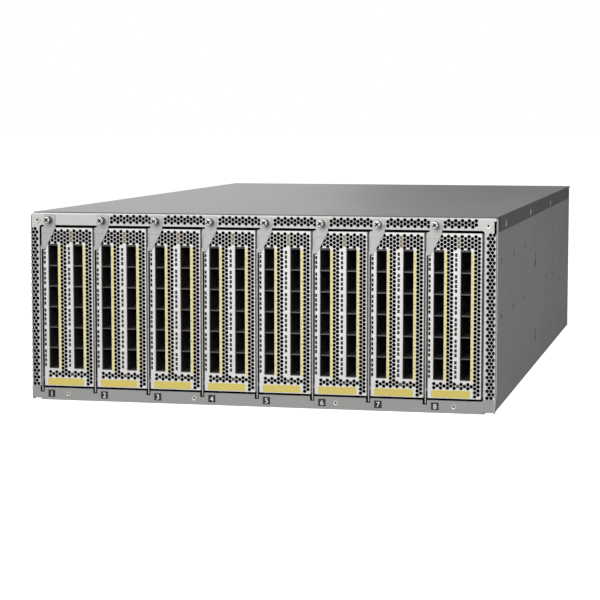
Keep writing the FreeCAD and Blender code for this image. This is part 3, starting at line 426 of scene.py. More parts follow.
def in_slot(master: Piece, card: int, name: str, pitch: float) -> Piece:
    """Give the piece made in slot 1, or a copy of it in another card's slot, with the name given."""
    piece = master if card == 1 else copy_to(master, name, ((card - 1) * pitch, 0.0, 0.0))
    piece.name = name
    return piece


def fit(piece: Piece, body: str, slot: str, *nodes: str) -> None:
    """Let a piece ride on a body and hide the nodes that it stands for."""
    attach(piece, body)
    if nodes:
        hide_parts(*nodes)
    LOG.info("%s rides on %s with %d faces", piece.name, body, len(piece.data.polygons))


def corners(node: str) -> tuple[Vector, Vector]:
    """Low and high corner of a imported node's box."""
    low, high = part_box(node)
    return Vector(low), Vector(high)


def lever_pivot() -> Point:
    """Pivot of card 1's lever."""
    return next(joint for joint in frame["joints"] if joint["name"] == "lever_1_swing")["pos_m"]


def screw_spot() -> tuple[float, float]:
    """Middle of card 1's thumbscrew, as its X and Z."""
    low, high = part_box("card_1_thumbscrew")
    return (low[0] + high[0]) / 2, (low[2] + high[2]) / 2


# ---------------------------------------------------------------- vents

@dataclass(frozen=True)
class VentLattice:
    """Staggered six-sided vents at their real pitch, in upright columns."""

    column_step: float = mm(3.09)
    pitch: float = mm(3.603)
    across: float = mm(3.16)

    @property
    def corner(self) -> float:
        """Middle of a hole to its corner."""
        return self.across / math.sqrt(3)

    def column(self, start: Point, step: Point, number: int, reach: Point,
               turn: float = 0.0) -> Piece:
        """One row of cutters, from the middle of the first one's near end, each as long as the reach."""
        cutter = prism("vent_cutter", 6, self.corner, start, reach, turn)
        if number > 1:
            repeat(cutter, step, number)
        return cutter


# ---------------------------------------------------------------- port cards

@dataclass
class PortCard:
    """The front of a port card, worked out on card 1 and copied to the other slots."""

    lattice: VentLattice = field(default_factory=VentLattice)
    wall: float = mm(0.75)
    shade_back: float = mm(1.15)
    bend: float = mm(0.9)
    left_gap: float = mm(2.5)
    sheet_left: float = mm(1.9)
    foot_trim: float = mm(0.3)
    top_trim: float = mm(1.0)
    plate_width: float = mm(48.3)
    port_width: float = mm(9.6)
    port_pitch: float = mm(19.4)
    ports: int = 6
    first_port: float = mm(16.8)
    column_pitch: float = mm(24.4)
    first_column: float = mm(6.95)
    header: float = mm(1.3)
    vent_column: float = mm(7.9)
    vent_columns: int = 14
    middle_columns: tuple[int, int] = (4, 5)
    light_column: int = 7
    low_vent: float = mm(9.8)
    vent_margin: float = mm(2.53)
    above_ports: float = mm(1.9)
    fold_vent: float = mm(2.9)
    low_fold_vent: float = mm(2.6)
    fold_margin: float = mm(1.6)
    left_pilots: float = mm(3.35)
    middle_pilots: float = mm(3.95)
    pilot_width: float = mm(2.2)
    pilot_height: float = mm(3.1)
    pilot_pitch: float = mm(4.3)
    strip_width: float = mm(2.35)
    plate_left: float = mm(5.3)
    plate_right: float = mm(41.0)
    plate_low: float = mm(1.0)
    plate_high: float = mm(7.7)
    plate_corner: float = mm(1.5)

    def __post_init__(self) -> None:
        """Read the card's place from the frame."""
        low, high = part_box("card_1_faceplate")
        self.right = high[0]
        self.slot = self.right - self.left_gap - self.plate_width
        self.front, self.back = low[1], high[1]
        self.low, self.high = low[2], high[2]
        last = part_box(f"card_{CARDS}_faceplate")[1][0]
        self.pitch = (last - self.right) / (CARDS - 1)
        self.ports_low = self.low + self.first_port
        self.ports_high = self.ports_low + self.ports * self.port_pitch

    def column_left(self, column: int) -> float:
        """Left edge of a column of ports."""
        return self.slot + self.first_column + column * self.column_pitch

    def folded_sheet(self) -> Piece:
        """Fold the plain sheet: a front with both sides bent back on a round bend.

        Returns:
            The sheet without holes.
        """
        sheet = block("faceplate", (self.slot + self.sheet_left, self.front, self.low + self.foot_trim),
                      (self.right, self.back, self.high - self.top_trim))
        open_faces(sheet, lambda centre, normal: normal.y > FACING or abs(normal.z) > FACING)
        edge = self.front + NEAR
        round_edges(sheet, lambda a, b: a.y < edge and b.y < edge and abs(a.x - b.x) < NEAR, self.bend, 5)
        use(sheet, "SOLIDIFY", thickness=self.wall, offset=-1.0, use_even_offset=True)
        return sheet

    def vent_cutters(self) -> list[Piece]:
        """Cutters for every vent of the front, column by column."""
        cutters = []
        reach = inward(self.wall * 3)
        near = self.front - self.wall
        step = up(self.lattice.pitch)
        label_side = self.vent_columns - 2
        for index in range(self.vent_columns):
            x = self.slot + self.vent_column + index * self.lattice.column_step
            base = self.low + self.low_vent + (index % 2) * self.lattice.pitch / 2
            rows = int((self.high - self.vent_margin - base) / self.lattice.pitch) + 1
            if index >= label_side:
                spans = [(-2, rows)]
            elif index in self.middle_columns:
                spans = [(0, rows)]
            else:
                first_above = math.ceil((self.ports_high + self.above_ports - base) / self.lattice.pitch)
                spans = [(0, 2 - index % 2), (first_above, rows)]
            for first, last in spans:
                start = (x, near, base + first * self.lattice.pitch)
                cutters.append(self.lattice.column(start, step, last - first, reach, VENT_TURN))
        return cutters

    def fold_cutters(self) -> list[Piece]:
        """Cutters for the vents of the right fold."""
        cutters = []
        reach = (-self.wall * 3, 0.0, 0.0)
        first = self.front + self.fold_vent
        columns = int((self.back - self.lattice.corner - first) / self.lattice.column_step) + 1
        for index in range(columns):
            base = self.low + self.low_fold_vent + (index % 2) * self.lattice.pitch / 2
            number = int((self.high - self.fold_margin - base) / self.lattice.pitch) + 1
            start = (self.right + self.wall, first + index * self.lattice.column_step, base)
            cutters.append(self.lattice.column(start, up(self.lattice.pitch), number, reach, VENT_TURN))
        return cutters

    def pilot_middles(self) -> list[float]:
        """Middles of the two columns of pilot-light slots."""
        return [self.slot + self.left_pilots, self.column_left(1) - self.middle_pilots]

    def pilot_heights(self) -> list[float]:
        """Heights of the four pilot lights beside the lowest port."""
        middle = self.ports_low + self.port_pitch / 2
        return [middle + (light - 1.5) * self.pilot_pitch for light in range(4)]

    def window_cutters(self) -> list[Piece]:
        """Cutters for the two port windows and the pilot-light slots at their left."""
        cutters = []
        for column in range(2):
            left = self.column_left(column)
            near, far = self.front - self.wall, self.front + self.wall * 2
            window = block("window", (left, near, self.ports_low - mm(0.2)),
                           (left + self.port_width, far, self.ports_high + self.header))
            ease(window, mm(0.5), 2)
            cutters.append(window)
            middle = self.pilot_middles()[column]
            side, half = self.pilot_width / 2, self.pilot_height / 2
            for z in self.pilot_heights():
                slit = block("pilot_slit", (middle - side, near, z - half), (middle + side, far, z + half))
                repeat(slit, up(self.port_pitch), self.ports)
                cutters.append(slit)
        return cutters

    def faceplate(self) -> Piece:
        """Fold and punch the faceplate, with the lever's pivot pin on its left side.

        Returns:
            Card 1's faceplate.
        """
        sheet = self.folded_sheet()
        cut(sheet, join("vent_cutters", self.vent_cutters()), join("fold_cutters", self.fold_cutters()),
            join("window_cutters", self.window_cutters()))
        pin_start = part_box("card_1_faceplate")[0][0]
        pivot = lever_pivot()
        pin = prism("pivot_pin", 24, mm(2.0), (pin_start, pivot[1], pivot[2]),
                    (self.slot + self.left_gap + self.wall / 2 - pin_start, 0.0, 0.0))
        ease(pin, mm(0.3), 2)
        return group("card_1_front_sheet", [sheet, pin], FACE_SHEET)

    def strips(self) -> Piece:
        """The pale yellow strips right of each column of ports, just proud of the sheet."""
        made = []
        for column in range(2):
            left = self.column_left(column) + self.port_width + mm(0.15)
            strip = block("strip", (left, self.front - mm(0.12), self.ports_low - mm(1.0)),
                          (left + self.strip_width, self.front, self.ports_high - mm(0.5)))
            ease(strip, mm(0.05), 1)
            made.append(strip)
        return group("card_1_strips", made, STRIP_YELLOW)

    def strip_marks(self) -> Piece:
        """Tiny printed ticks on the strips, one a port."""
        made = []
        for column in range(2):
            left = self.column_left(column) + self.port_width + mm(0.6)
            tick = block("tick", (left, self.front - mm(0.16), self.ports_low + mm(9.3)),
                         (left + mm(0.7), self.front - mm(0.1), self.ports_low + mm(10.1)))
            repeat(tick, up(self.port_pitch), self.ports)
            made.append(tick)
        return group("card_1_strip_marks", made, NUMBER_BLACK)

    def name_plate(self) -> Piece:
        """The ochre plate under the ports, left bare."""
        proud = self.front - mm(0.14)
        plate = block("card_1_plate", (self.slot + self.plate_left, proud, self.low + self.plate_low),
                      (self.slot + self.plate_right, self.front, self.low + self.plate_high))
        round_edges(plate, lambda a, b: abs(a.y - b.y) > mm(0.1), self.plate_corner, 5)
        ease(plate, mm(0.05), 1)
        dress(plate, PLATE_OCHRE)
        return plate

    def lights(self, name: str, finish: Finish, places: tuple[tuple[int, int], ...]) -> Piece:
        """Light pipes that fill some of the vents.

        Args:
            name: End of the piece's name.
            finish: Their finish.
            places: Column and row of each vent that is filled.

        Returns:
            The light pipes of card 1.
        """
        made = []
        for column, row in places:
            x = self.slot + self.vent_column + column * self.lattice.column_step
            z = self.low + self.low_vent + (row + (column % 2) / 2) * self.lattice.pitch
            lens = prism("lens", 6, self.lattice.corner * 0.97, (x, self.front + mm(0.15), z),
                         inward(mm(0.6)), VENT_TURN)
            ease(lens, mm(0.2), 2)
            made.append(lens)
        return group(f"card_1_{name}", made, finish)

    def springs(self) -> Piece:
        """Thin contact springs on the left wall inside each port, one bowed strip in each."""
        made = []
        for column in range(2):
            left, near = self.column_left(column), self.front + mm(23.0)
            middle = self.ports_low + self.port_pitch / 2
            spring = block("spring", (left, near, middle - mm(6.5)),
                           (left + mm(0.3), near + mm(1.6), middle + mm(6.5)))
            edit_faces(spring, lambda centre, normal: normal.x > FACING)
            bpy.ops.mesh.inset(thickness=mm(0.4), depth=mm(0.25))
            done_editing()
            repeat(spring, up(self.port_pitch), self.ports)
            made.append(spring)
        return group("card_1_springs", made, CAGE_TIN)

    def pilot_lenses(self) -> Piece:
        """Small grey light-pipe ends, one in the middle of each slot of the second column."""
        made = []
        middle = self.pilot_middles()[1]
        for z in self.pilot_heights():
            lens = block("lens", (middle - mm(0.4), self.front + mm(0.5), z - mm(0.65)),
                         (middle + mm(0.4), self.front + mm(0.95), z + mm(0.65)))
            ease(lens, mm(0.15), 2)
            repeat(lens, up(self.port_pitch), self.ports)
            made.append(lens)
        return group("card_1_pilot_lenses", made, LIGHT_GREY)

    def screen(self) -> Piece:
        """A black sheet of painted shade behind the vents and pilot slots, open at the two port windows."""
        near, far = self.front + self.wall, self.front + self.shade_back
        sheet = block("screen", (self.slot + self.sheet_left + mm(0.8), near, self.low + mm(0.4)),
                      (self.right - mm(0.8), far, self.high - mm(1.3)))
        windows = []
        for column in range(2):
            left = self.column_left(column)
            windows.append(block("hole", (left - mm(0.2), self.front, self.ports_low - mm(0.4)),
                                 (left + self.port_width + mm(0.2), self.front + mm(3),
                                  self.ports_high + self.header + mm(0.2))))
        cut(sheet, *windows)
        sheet.name = "card_1_screen"
        dress(sheet, SHADE_BLACK)
        return sheet

    def headers(self) -> Piece:
        """Folded upper edges of the cages, seen at the top of the windows."""
        made = []
        for column in range(2):
            left, near, foot = self.column_left(column), self.front + mm(0.5), self.ports_high
            bar = block("header", (left, near, foot),
                        (left + self.port_width, self.front + self.shade_back, foot + self.header))
            round_edges(bar, lambda a, b: max(a.y, b.y) < near + NEAR and max(a.z, b.z) < foot + NEAR,
                        mm(0.45), 4)
            made.append(bar)
        whole = group("card_1_headers", made, CAGE_TIN)
        soften(whole, 40)
        return whole

    def build(self) -> None:
        """Make card 1's pieces and copy them to every slot."""
        high_lights = tuple((self.light_column, row) for row in (35, 36, 37))
        low_light = ((self.light_column, 0),)
        masters = [self.faceplate(), self.screen(), self.headers(), self.strips(), self.strip_marks(),
                   self.name_plate(), self.lights("lights", LIGHT_AMBER, high_lights),
                   self.lights("low_light", LIGHT_GREY, low_light), self.pilot_lenses(), self.springs()]
        parts = [master.name.removeprefix("card_1_") for master in masters]
        for card in range(CARDS, 0, -1):
            for master, part in zip(masters, parts):
                piece = in_slot(master, card, f"card_{card}_{part}", self.pitch)
                slot = "cage_steel" if part in ("headers", "springs") else "card_zinc"
                nodes = (f"card_{card}_faceplate",) if part == "front_sheet" else ()
                fit(piece, f"card_{card}", slot, *nodes)
            dress_node(f"card_{card}_cages", CAGE_TIN)
            dress_node(f"card_{card}_boards", BOARD_GREEN)


@dataclass
class EjectorLever:
    """The lever of a card: an edge-on leg with flanks painted dark as shade and, bent off it, a flag with a
    tab.
    """

    sheet: float = mm(1.05)
    depth: float = mm(5.0)
    proud: float = mm(1.4)
    heel: float = mm(4.4)
    bend: float = mm(1.15)
    recess: float = mm(2.6)
    flag_drop: float = mm(19.7)
    tab_inset: float = mm(3.5)
    taper: float = mm(29.2)
    heel_rise: float = mm(20)
    prong: float = mm(3.6)
    pivot_hole: float = mm(2.05)
    screw_hole: float = mm(1.65)
    panel_depth: float = mm(0.5)
    inner_corner: float = mm(1.2)
    tab_corner: float = mm(1.3)

    def __post_init__(self) -> None:
        """Read the lever's place from the frame."""
        self.low, self.high = corners("card_1_lever")
        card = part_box("card_1_faceplate")
        self.card_low, self.leg_top = card[0][2], card[1][2] - mm(1.5)
        self.pivot = lever_pivot()

    def trim(self, piece: Piece, start: Point, end: Point, across: Point) -> None:
        """Cut a piece along the plane of two points and a direction across them, and close it."""
        normal = Vector(across).cross(Vector(end) - Vector(start)).normalized()
        edit_all(piece)
        bpy.ops.mesh.bisect(plane_co=start, plane_no=normal, use_fill=True, clear_outer=True)
        done_editing()

    def leg(self) -> Piece:
        """The upright leg with its prong, heel and pivot hole."""
        near, far, left = self.low.y, self.low.y + self.proud + self.depth, self.low.x
        right = left + self.sheet
        sideways = (1.0, 0.0, 0.0)
        top, heel_top = self.leg_top, self.pivot[2] + self.heel_rise
        bar = block("leg", (left, near, self.low.z), (right, far, top))
        self.trim(bar, (left, near + mm(3), top), (left, far, top - self.taper), sideways)
        back = self.pivot[1] + self.heel
        heel = block("heel", (left, near + mm(1), self.card_low), (right, back, heel_top))
        self.trim(heel, (left, far, heel_top), (left, back, self.pivot[2] + mm(5)), sideways)
        merge(bar, heel)
        below = block("below", (left - mm(1), near + self.prong, self.low.z - mm(1)),
                      (right + mm(1), back + mm(1), self.card_low))
        hollow = block("hollow", (left - mm(1), near - mm(1), top - self.flag_drop + mm(3.0)),
                       (right + mm(1), near + self.recess, top + mm(1)))
        hole = prism("hole", 24, self.pivot_hole, (left - mm(1), self.pivot[1], self.pivot[2]),
                     (mm(4), 0.0, 0.0))
        cut(bar, below, hollow, hole)
        return bar

    def flag(self) -> Piece:
        """The flag: slanting below, stepped at the left under its round-cornered tab."""
        near, left, base = self.low.y, self.low.x, self.leg_top - self.flag_drop
        right, top, back = self.high.x, self.high.z, self.low.y + self.sheet
        plate = block("flag", (left + self.bend, near, base), (right, back, top))
        slant = (left + mm(4.67), near, base + mm(1.17))
        self.trim(plate, slant, (right, near, self.leg_top), inward(1.0))
        step = block("step", (left - mm(1), near - mm(1), self.leg_top + mm(1.2)),
                     (left + self.tab_inset, near + mm(3), top + mm(1)))
        shoulder = self.leg_top + mm(2)
        round_edges(step, lambda a, b: abs(a.y - b.y) > mm(1) and a.x > left and a.z < shoulder,
                    self.inner_corner, 3)
        cut(plate, step)
        round_edges(plate, lambda a, b: abs(a.y - b.y) > mm(0.9) and min(a.z, b.z) > top - mm(0.1),
                    self.tab_corner, 4)
        panel = block("panel", (left + self.bend + mm(0.9), near - mm(1), base - mm(1)),
                      (right + mm(1), near + self.panel_depth, self.leg_top - mm(4.3)))
        round_edges(panel, lambda a, b: abs(a.y - b.y) > mm(1) and a.x < left + mm(3) and a.z > base,
                    self.inner_corner, 3)
        x, z = screw_spot()
        cut(plate, prism("way", 20, self.screw_hole, (x, near - mm(1), z), inward(mm(4))), panel)
        merge(plate, block("neck", (left, near, base), (left + self.bend + mm(1.6), back, base + mm(3.2))))
        return plate

    def build(self, pitch: float) -> None:
        """Shape one lever and copy it to every card.

        Args:
            pitch: Slot to slot, in metres.
        """
        whole = self.leg()
        merge(whole, self.flag())
        ease(whole, mm(0.14), 2, 40)
        dress(whole, LEVER_STEEL)
        flank_end = self.low.x + self.bend
        # Painted shade: the leg's flat flanks in black.
        tint(whole, GUIDE_AND_SHADE_BLACK, lambda centre, normal: abs(normal.x) > SQUARE and centre.x < flank_end)
        for card in range(CARDS, 0, -1):
            name = f"lever_{card}"
            fit(in_slot(whole, card, name, pitch), name, "lever_steel", f"card_{card}_lever")


@dataclass
class Thumbscrew:
    """The lever's captive screw: a bevelled, fluted head with a cross recess."""

    head_radius: float = mm(3.1)
    head_length: float = mm(9.0)
    flutes: int = 16
    shank_radius: float = mm(1.5)
    recess_depth: float = mm(1.6)

    def is_groove(self, normal: Vector) -> bool:
        """Every other side of the head is sunk as a groove."""
        side = int(math.atan2(normal.z, normal.x) / (math.pi / self.flutes) + 100)
        return side % 2 == 0

    def build(self, pitch: float) -> None:
        """Turn one screw and copy it to every lever.

        Args:
            pitch: Slot to slot, in metres.
        """
        low, high = corners("card_1_thumbscrew")
        middle = (low + high) / 2
        head_end, floor = low.y + self.head_length, low.y + self.recess_depth
        head = prism("screw_head", self.flutes * 2, self.head_radius, (middle.x, low.y, middle.z),
                     inward(self.head_length))
        ease(head, mm(0.4), 3, 60)
        near, far = low.y + mm(1.5), head_end - mm(1.5)
        edit_faces(head, lambda centre, normal: near < centre.y < far and abs(normal.y) < 0.1
                   and self.is_groove(normal))
        bpy.ops.mesh.inset(thickness=mm(0.06))
        bpy.ops.mesh.extrude_region_shrink_fatten(TRANSFORM_OT_shrink_fatten={"value": -mm(0.22)})
        done_editing()
        bars = []
        for size_x, size_z in ((0.6, 2.3), (2.3, 0.6)):
            bar = block("recess", (middle.x - mm(size_x), low.y - mm(1.0), middle.z - mm(size_z)),
                        (middle.x + mm(size_x), floor, middle.z + mm(size_z)))
            swing(bar, 38, "Y", middle)
            bars.append(bar)
        cut(head, *bars)
        shank = prism("screw_shank", 24, self.shank_radius, (middle.x, head_end, middle.z),
                      inward(high.y - head_end))
        ease(shank, mm(0.3), 2, 60)
        whole = group("thumbscrew_1", [head, shank], SCREW_PLATE)
        soften(whole, 28)
        # Painted shade: a darker copy on the fluted sides and flat black on the recess floor.
        tint(whole, SHADE_ZINC, lambda centre, normal: abs(normal.y) < 0.3 and centre.y < head_end)
        tint(whole, SHADE_BLACK,
             lambda centre, normal: normal.y < -SQUARE and abs(centre.y - floor) < mm(0.1))
        for card in range(CARDS, 0, -1):
            name = f"thumbscrew_{card}"
            fit(in_slot(whole, card, name, pitch), name, "screw_steel", f"card_{card}_thumbscrew")


# ---------------------------------------------------------------- chassis

@dataclass
class FrontBezel:
    """The folded front frame with true vents, notches, fasteners and slot numbers."""

    lattice: VentLattice = field(default_factory=VentLattice)
    wall: float = mm(0.75)
    shade_back: float = mm(1.15)
    rail: float = mm(11.7)
    step: float = mm(0.7)
    corner: float = mm(2.6)
    outer_corner: float = mm(2.2)
    bend: float = mm(1.1)
    top_fold: float = mm(9.4)
    lip: float = mm(1.5)
    notch_width: float = mm(4.0)
    notch_depth: float = mm(4.2)
    rail_vent: float = mm(17.3)
    rail_columns: int = 13
    last_rail_columns: int = 10
    even_vent_drop: float = mm(8.35)
    odd_vent_drop: float = mm(6.5)
    post_row: float = mm(3.12)
    post_rows: int = 24
    low_post_vent: float = mm(14.9)
    post_vent: float = mm(1.3)
    fold_vent: float = mm(3.0)
    drive_floor: float = mm(0.1)
    number_size: float = mm(6.9)
    foot: float = mm(1.6)
    dull_height: float = mm(13.4)

    def __post_init__(self) -> None:
        """Read the frame's place and the slots' places."""
        self.low, self.high = corners("front_bezel")
        self.card = PortCard()
        self.open_left = -(CARDS * self.card.pitch / 2 + mm(1.4))
        self.open_right = CARDS * self.card.pitch / 2 + mm(0.6)
        self.open_low = self.low.z + self.rail - mm(0.3)
        self.open_high = self.high.z - self.rail

    def folded(self) -> Piece:
        """Fold the sheet and cut the card opening, with round corners.

        Returns:
            The frame without vents.
        """
        sheet = block("bezel", self.low, self.high - Vector(up(self.step)))
        open_faces(sheet, lambda centre, normal: normal.y > FACING or normal.z < -FACING)
        top = self.high.z - self.step - NEAR
        round_edges(sheet, lambda a, b: a.z > top and b.z > top and abs(a.y - b.y) > mm(1),
                    self.outer_corner, 5)
        edge, bottom = self.low.y + NEAR, self.low.z + NEAR
        round_edges(sheet, lambda a, b: a.y < edge and b.y < edge and not (a.z < bottom and b.z < bottom),
                    self.bend, 4)
        use(sheet, "SOLIDIFY", thickness=self.wall, offset=-1.0, use_even_offset=True)
        opening = block("opening", (self.open_left, self.low.y - mm(5), self.open_low),
                        (self.open_right, self.low.y + mm(12), self.open_high))
        round_edges(opening, lambda a, b: abs(a.y - b.y) > mm(1), self.corner, 6)
        trim = block("trim", (-mm(300), self.low.y + self.top_fold, self.high.z - mm(2.4)),
                     (mm(300), self.high.y + mm(5), self.high.z + mm(5)))
        cut(sheet, opening, trim)
        inside, under = self.low.y + self.wall / 2, self.open_low - self.wall
        lip = block("lip", (self.open_left + self.corner, inside, under),
                    (self.open_right - self.corner, self.low.y + self.lip, self.open_low))
        ease(lip, mm(0.3), 2)
        merge(sheet, lip)
        return sheet

    def rail_vents(self) -> list[Piece]:
        """Two vents a column in the top rail, between the levers' tabs; the first slot's rail is bare."""
        cutters = []
        reach = inward(self.wall * 3)
        for slot in range(1, CARDS):
            first = self.card.slot + slot * self.card.pitch + self.rail_vent
            columns = self.last_rail_columns if slot == CARDS - 1 else self.rail_columns
            for index in range(columns):
                drop = self.odd_vent_drop if index % 2 else self.even_vent_drop
                start = (first + index * self.lattice.column_step, self.low.y - self.wall, self.high.z - drop)
                cutters.append(self.lattice.column(start, up(self.lattice.pitch), 2, reach, VENT_TURN))
        return cutters

    def post_vents(self, folds: bool) -> list[Piece]:
        """Rows of vents down both posts, or down both side folds."""
        cutters = []
        for side in (-1, 1):
            for index in range(4):
                across = index * self.lattice.pitch / 2
                z = self.low.z + self.low_post_vent + (1 - index % 2) * self.post_row
                if folds:
                    start = (side * (self.high.x + self.wall), self.low.y + self.fold_vent + across, z)
                    reach = (-side * self.wall * 3, 0.0, 0.0)
                else:
                    start = (side * (self.high.x - self.post_vent - across), self.low.y - self.wall, z)
                    reach = inward(self.wall * 3)
                cutters.append(self.lattice.column(start, up(2 * self.post_row), self.post_rows, reach))
        return cutters

    def screw_ways(self) -> list[Piece]:
        """Cutters for the thumbscrews' holes in the top rail."""
        x, z = screw_spot()
        return [prism("screw_way", 24, mm(2.0), (x + slot * self.card.pitch, self.low.y - mm(2), z),
                      inward(mm(5))) for slot in range(CARDS)]

    def notches(self) -> list[Piece]:
        """Cutters for the levers' notches in the bottom rail."""
        half, bottom = self.notch_width / 2, self.open_low - self.notch_depth
        middles = [self.card.slot + slot * self.card.pitch - mm(0.2) for slot in range(CARDS)]
        return [block("notch", (middle - half, self.low.y - mm(2), bottom),
                      (middle + half, self.low.y + mm(9), self.open_low + mm(2))) for middle in middles]

    def lower_corner_cuts(self) -> list[Piece]:
        """Short posts, and sloping cuts at the foot of both side folds."""
        cutters = []
        start, level = self.low.y + self.wall, self.low.z + self.foot
        for side in (-1, 1):
            inner = self.open_left if side < 0 else self.open_right
            foot = block("foot", (side * (self.high.x + mm(3)), self.low.y - mm(2), self.low.z - mm(2)),
                         (inner, self.low.y + mm(8), level))
            wedge = block("wedge", (side * self.high.x - mm(3), start, level - mm(12)),
                          (side * self.high.x + mm(3), self.high.y + mm(12), level))
            swing(wedge, -44, "X", (0.0, start, level))
            cutters += [foot, wedge]
        return cutters

    def corner_reliefs(self, inner: float, outer: float, near: float) -> list[Piece]:
        """Blocks at the tops of the side folds, for the reliefs there and the black sheets of painted shade
        inside them.

        Args:
            inner: How far inside the bezel's side a block starts, in metres.
            outer: How far inside it a block ends.
            near: How far behind the bezel's face it starts.

        Returns:
            The left block and the right one.
        """
        low, high = self.high.z - mm(14.6), self.high.z - mm(3.2)
        return [block("relief", (side * (self.high.x - inner), self.low.y + near, low),
                      (side * (self.high.x - outer), self.low.y + mm(7.6), high)) for side in (-1, 1)]

    def front_fasteners(self) -> list[Piece]:
        """The bezel's two corner screws and the pressed rivets in its rail."""
        made = []
        spots = [(-mm(212.1), mm(170.0)), (mm(212.6), mm(169.8))]
        spots += [(share * self.card.pitch, mm(6.0)) for share in (-3.5, -1.15, 1.42, 3.5)]
        for index, (x, z) in enumerate(spots):
            radius, sides = (mm(2.9), 6) if index < 2 else (mm(2.3), 16)
            head = prism("rivet", 28, radius, (x, self.low.y, z), inward(-mm(0.9)))
            ease(head, mm(0.4), 3, 60)
            edit_faces(head, lambda centre, normal: normal.y < -SQUARE)
            bpy.ops.mesh.inset(thickness=radius * 0.3, depth=-mm(0.3))
            done_editing()
            cut(head, prism("drive", sides, radius * 0.36, (x, self.low.y - mm(2), z),
                            inward(mm(2) - self.drive_floor)))
            made.append(head)
        return made

    def cover_screws(self) -> list[Piece]:
        """Three flush screws with a cross recess in each of the cover's flanges."""
        made = []
        z, bite = self.high.z - mm(9.0), mm(0.7)
        for side in (-1, 1):
            flange = side * self.high.x
            for step in range(3):
                y = self.low.y + mm(76.4) + step * mm(214.6)
                head = prism("cover_screw", 28, mm(3.25), (flange - side * mm(1.2), y, z),
                             (side * mm(1.2), 0.0, 0.0))
                for width, height in ((0.4, 2.0), (2.0, 0.4)):
                    cut(head, block("bar", (flange - bite, y - mm(width), z - mm(height)),
                                    (flange + bite, y + mm(width), z + mm(height))))
                made.append(head)
        return made

    def fasteners(self) -> Piece:
        """All the screws and rivets as one piece, with the floors of the front ones' drives painted black as
        shade.
        """
        whole = group("screws_and_rivets", self.front_fasteners() + self.cover_screws(), SCREW_PLATE)
        soften(whole, 28)
        floor = self.low.y - self.drive_floor
        # Painted shade: the front drives' floors in flat black.
        tint(whole, SHADE_BLACK,
             lambda centre, normal: normal.y < -SQUARE and abs(centre.y - floor) < mm(0.05))
        return whole

    def numbers(self) -> None:
        """Plain slot numbers, white on near-black squares, under each card."""
        for slot in range(CARDS):
            left = self.card.slot + slot * self.card.pitch + mm(5.5)
            bottom = self.low.z + mm(2.6)
            square = block(f"number_square_{slot + 1}", (left, self.low.y - mm(0.1), bottom),
                           (left + self.number_size, self.low.y, bottom + self.number_size))
            ease(square, mm(0.04), 1)
            dress(square, NUMBER_BLACK)
            fit(square, "chassis", "bezel_zinc")
            bpy.ops.object.select_all(action="DESELECT")
            spot = (left + self.number_size / 2, self.low.y - mm(0.12), bottom + mm(1.05))
            bpy.ops.object.text_add(location=spot, rotation=(math.radians(90), 0.0, 0.0))
            digit = bpy.context.object
            digit.data.body = str(slot + 1)
            digit.data.size = mm(6.6)
            digit.data.offset = mm(0.05)
            digit.data.align_x = "CENTER"
            digit.data.extrude = mm(0.02)
            take(digit)
            bpy.ops.object.convert(target="MESH")
            settle(bpy.context.object, f"number_{slot + 1}")
            dress(bpy.context.object, NUMBER_WHITE)
            fit(bpy.context.object, "chassis", "bezel_zinc")

    def shade_sheets(self) -> None:
        """Black sheets of painted shade: behind the vents, in the gap above the cards and in the corner
        reliefs.
        """
        near, far = self.low.y + self.wall, self.low.y + self.shade_back
        rail = block("rail_shade", (self.open_left, near, self.open_high + mm(0.6)),
                     (self.open_right, far, self.high.z - mm(3.2)))
        cut(rail, join("ways", self.screw_ways()))
        foot, edge, gap = self.low.z + mm(12.2), mm(0.9), mm(0.4)
        left = block("left", (self.low.x + edge, near, foot), (self.open_left - gap, far, self.open_high))
        right = block("right", (self.open_right + gap, near, foot), (self.high.x - edge, far, self.open_high))
        gap_shade = block("gap_shade", (self.open_left + mm(3), self.low.y + mm(1.3), self.card.high + mm(0.1)),
                     (self.open_right - mm(3), self.low.y + mm(2.6), self.open_high))
        relief_shades = self.corner_reliefs(mm(2.2), mm(0.5), mm(1.0))
        whole = group("bezel_painted_shade", [rail, left, right, gap_shade, *relief_shades], SHADE_BLACK)
        fit(whole, "chassis", "bezel_zinc")

    def build(self) -> None:
        """Make the bezel and what is on it."""
        sheet = self.folded()
        reliefs = self.corner_reliefs(mm(1.6), -mm(1), -mm(1))
        for cutters in (self.rail_vents(), self.post_vents(False), self.post_vents(True), self.notches(),
                        self.screw_ways(), self.lower_corner_cuts(), reliefs):
            cut(sheet, join("cutters", cutters))
        sheet.name = "bezel_sheet"
        dress(sheet, BEZEL_SHEET)
        self.tone_foot_and_paint_highlight(sheet)
        fit(sheet, "chassis", "bezel_zinc", "front_bezel")
        fit(self.fasteners(), "chassis", "screw_steel", "chassis_screws")
        self.numbers()
        self.shade_sheets()

    def tone_foot_and_paint_highlight(self, sheet: Piece) -> None:
        """Give the bezel's foot its greyer, duller finish, split off at a line, and the top bend a painted
        highlight.
        """
        level, bend = self.low.z + self.dull_height, self.high.z - mm(3.4)
        edit_all(sheet)
        bpy.ops.mesh.bisect(plane_co=up(level), plane_no=up(1.0))
        done_editing()
        tint(sheet, RAIL_SHEET, lambda centre, normal: centre.z < level and normal.y < -FACING)
        # Painted highlight on the faces of the top bend.
        tint(sheet, BEND_HIGHLIGHT,
             lambda centre, normal: centre.z > bend and normal.z > 0.2 and normal.y < -0.1)


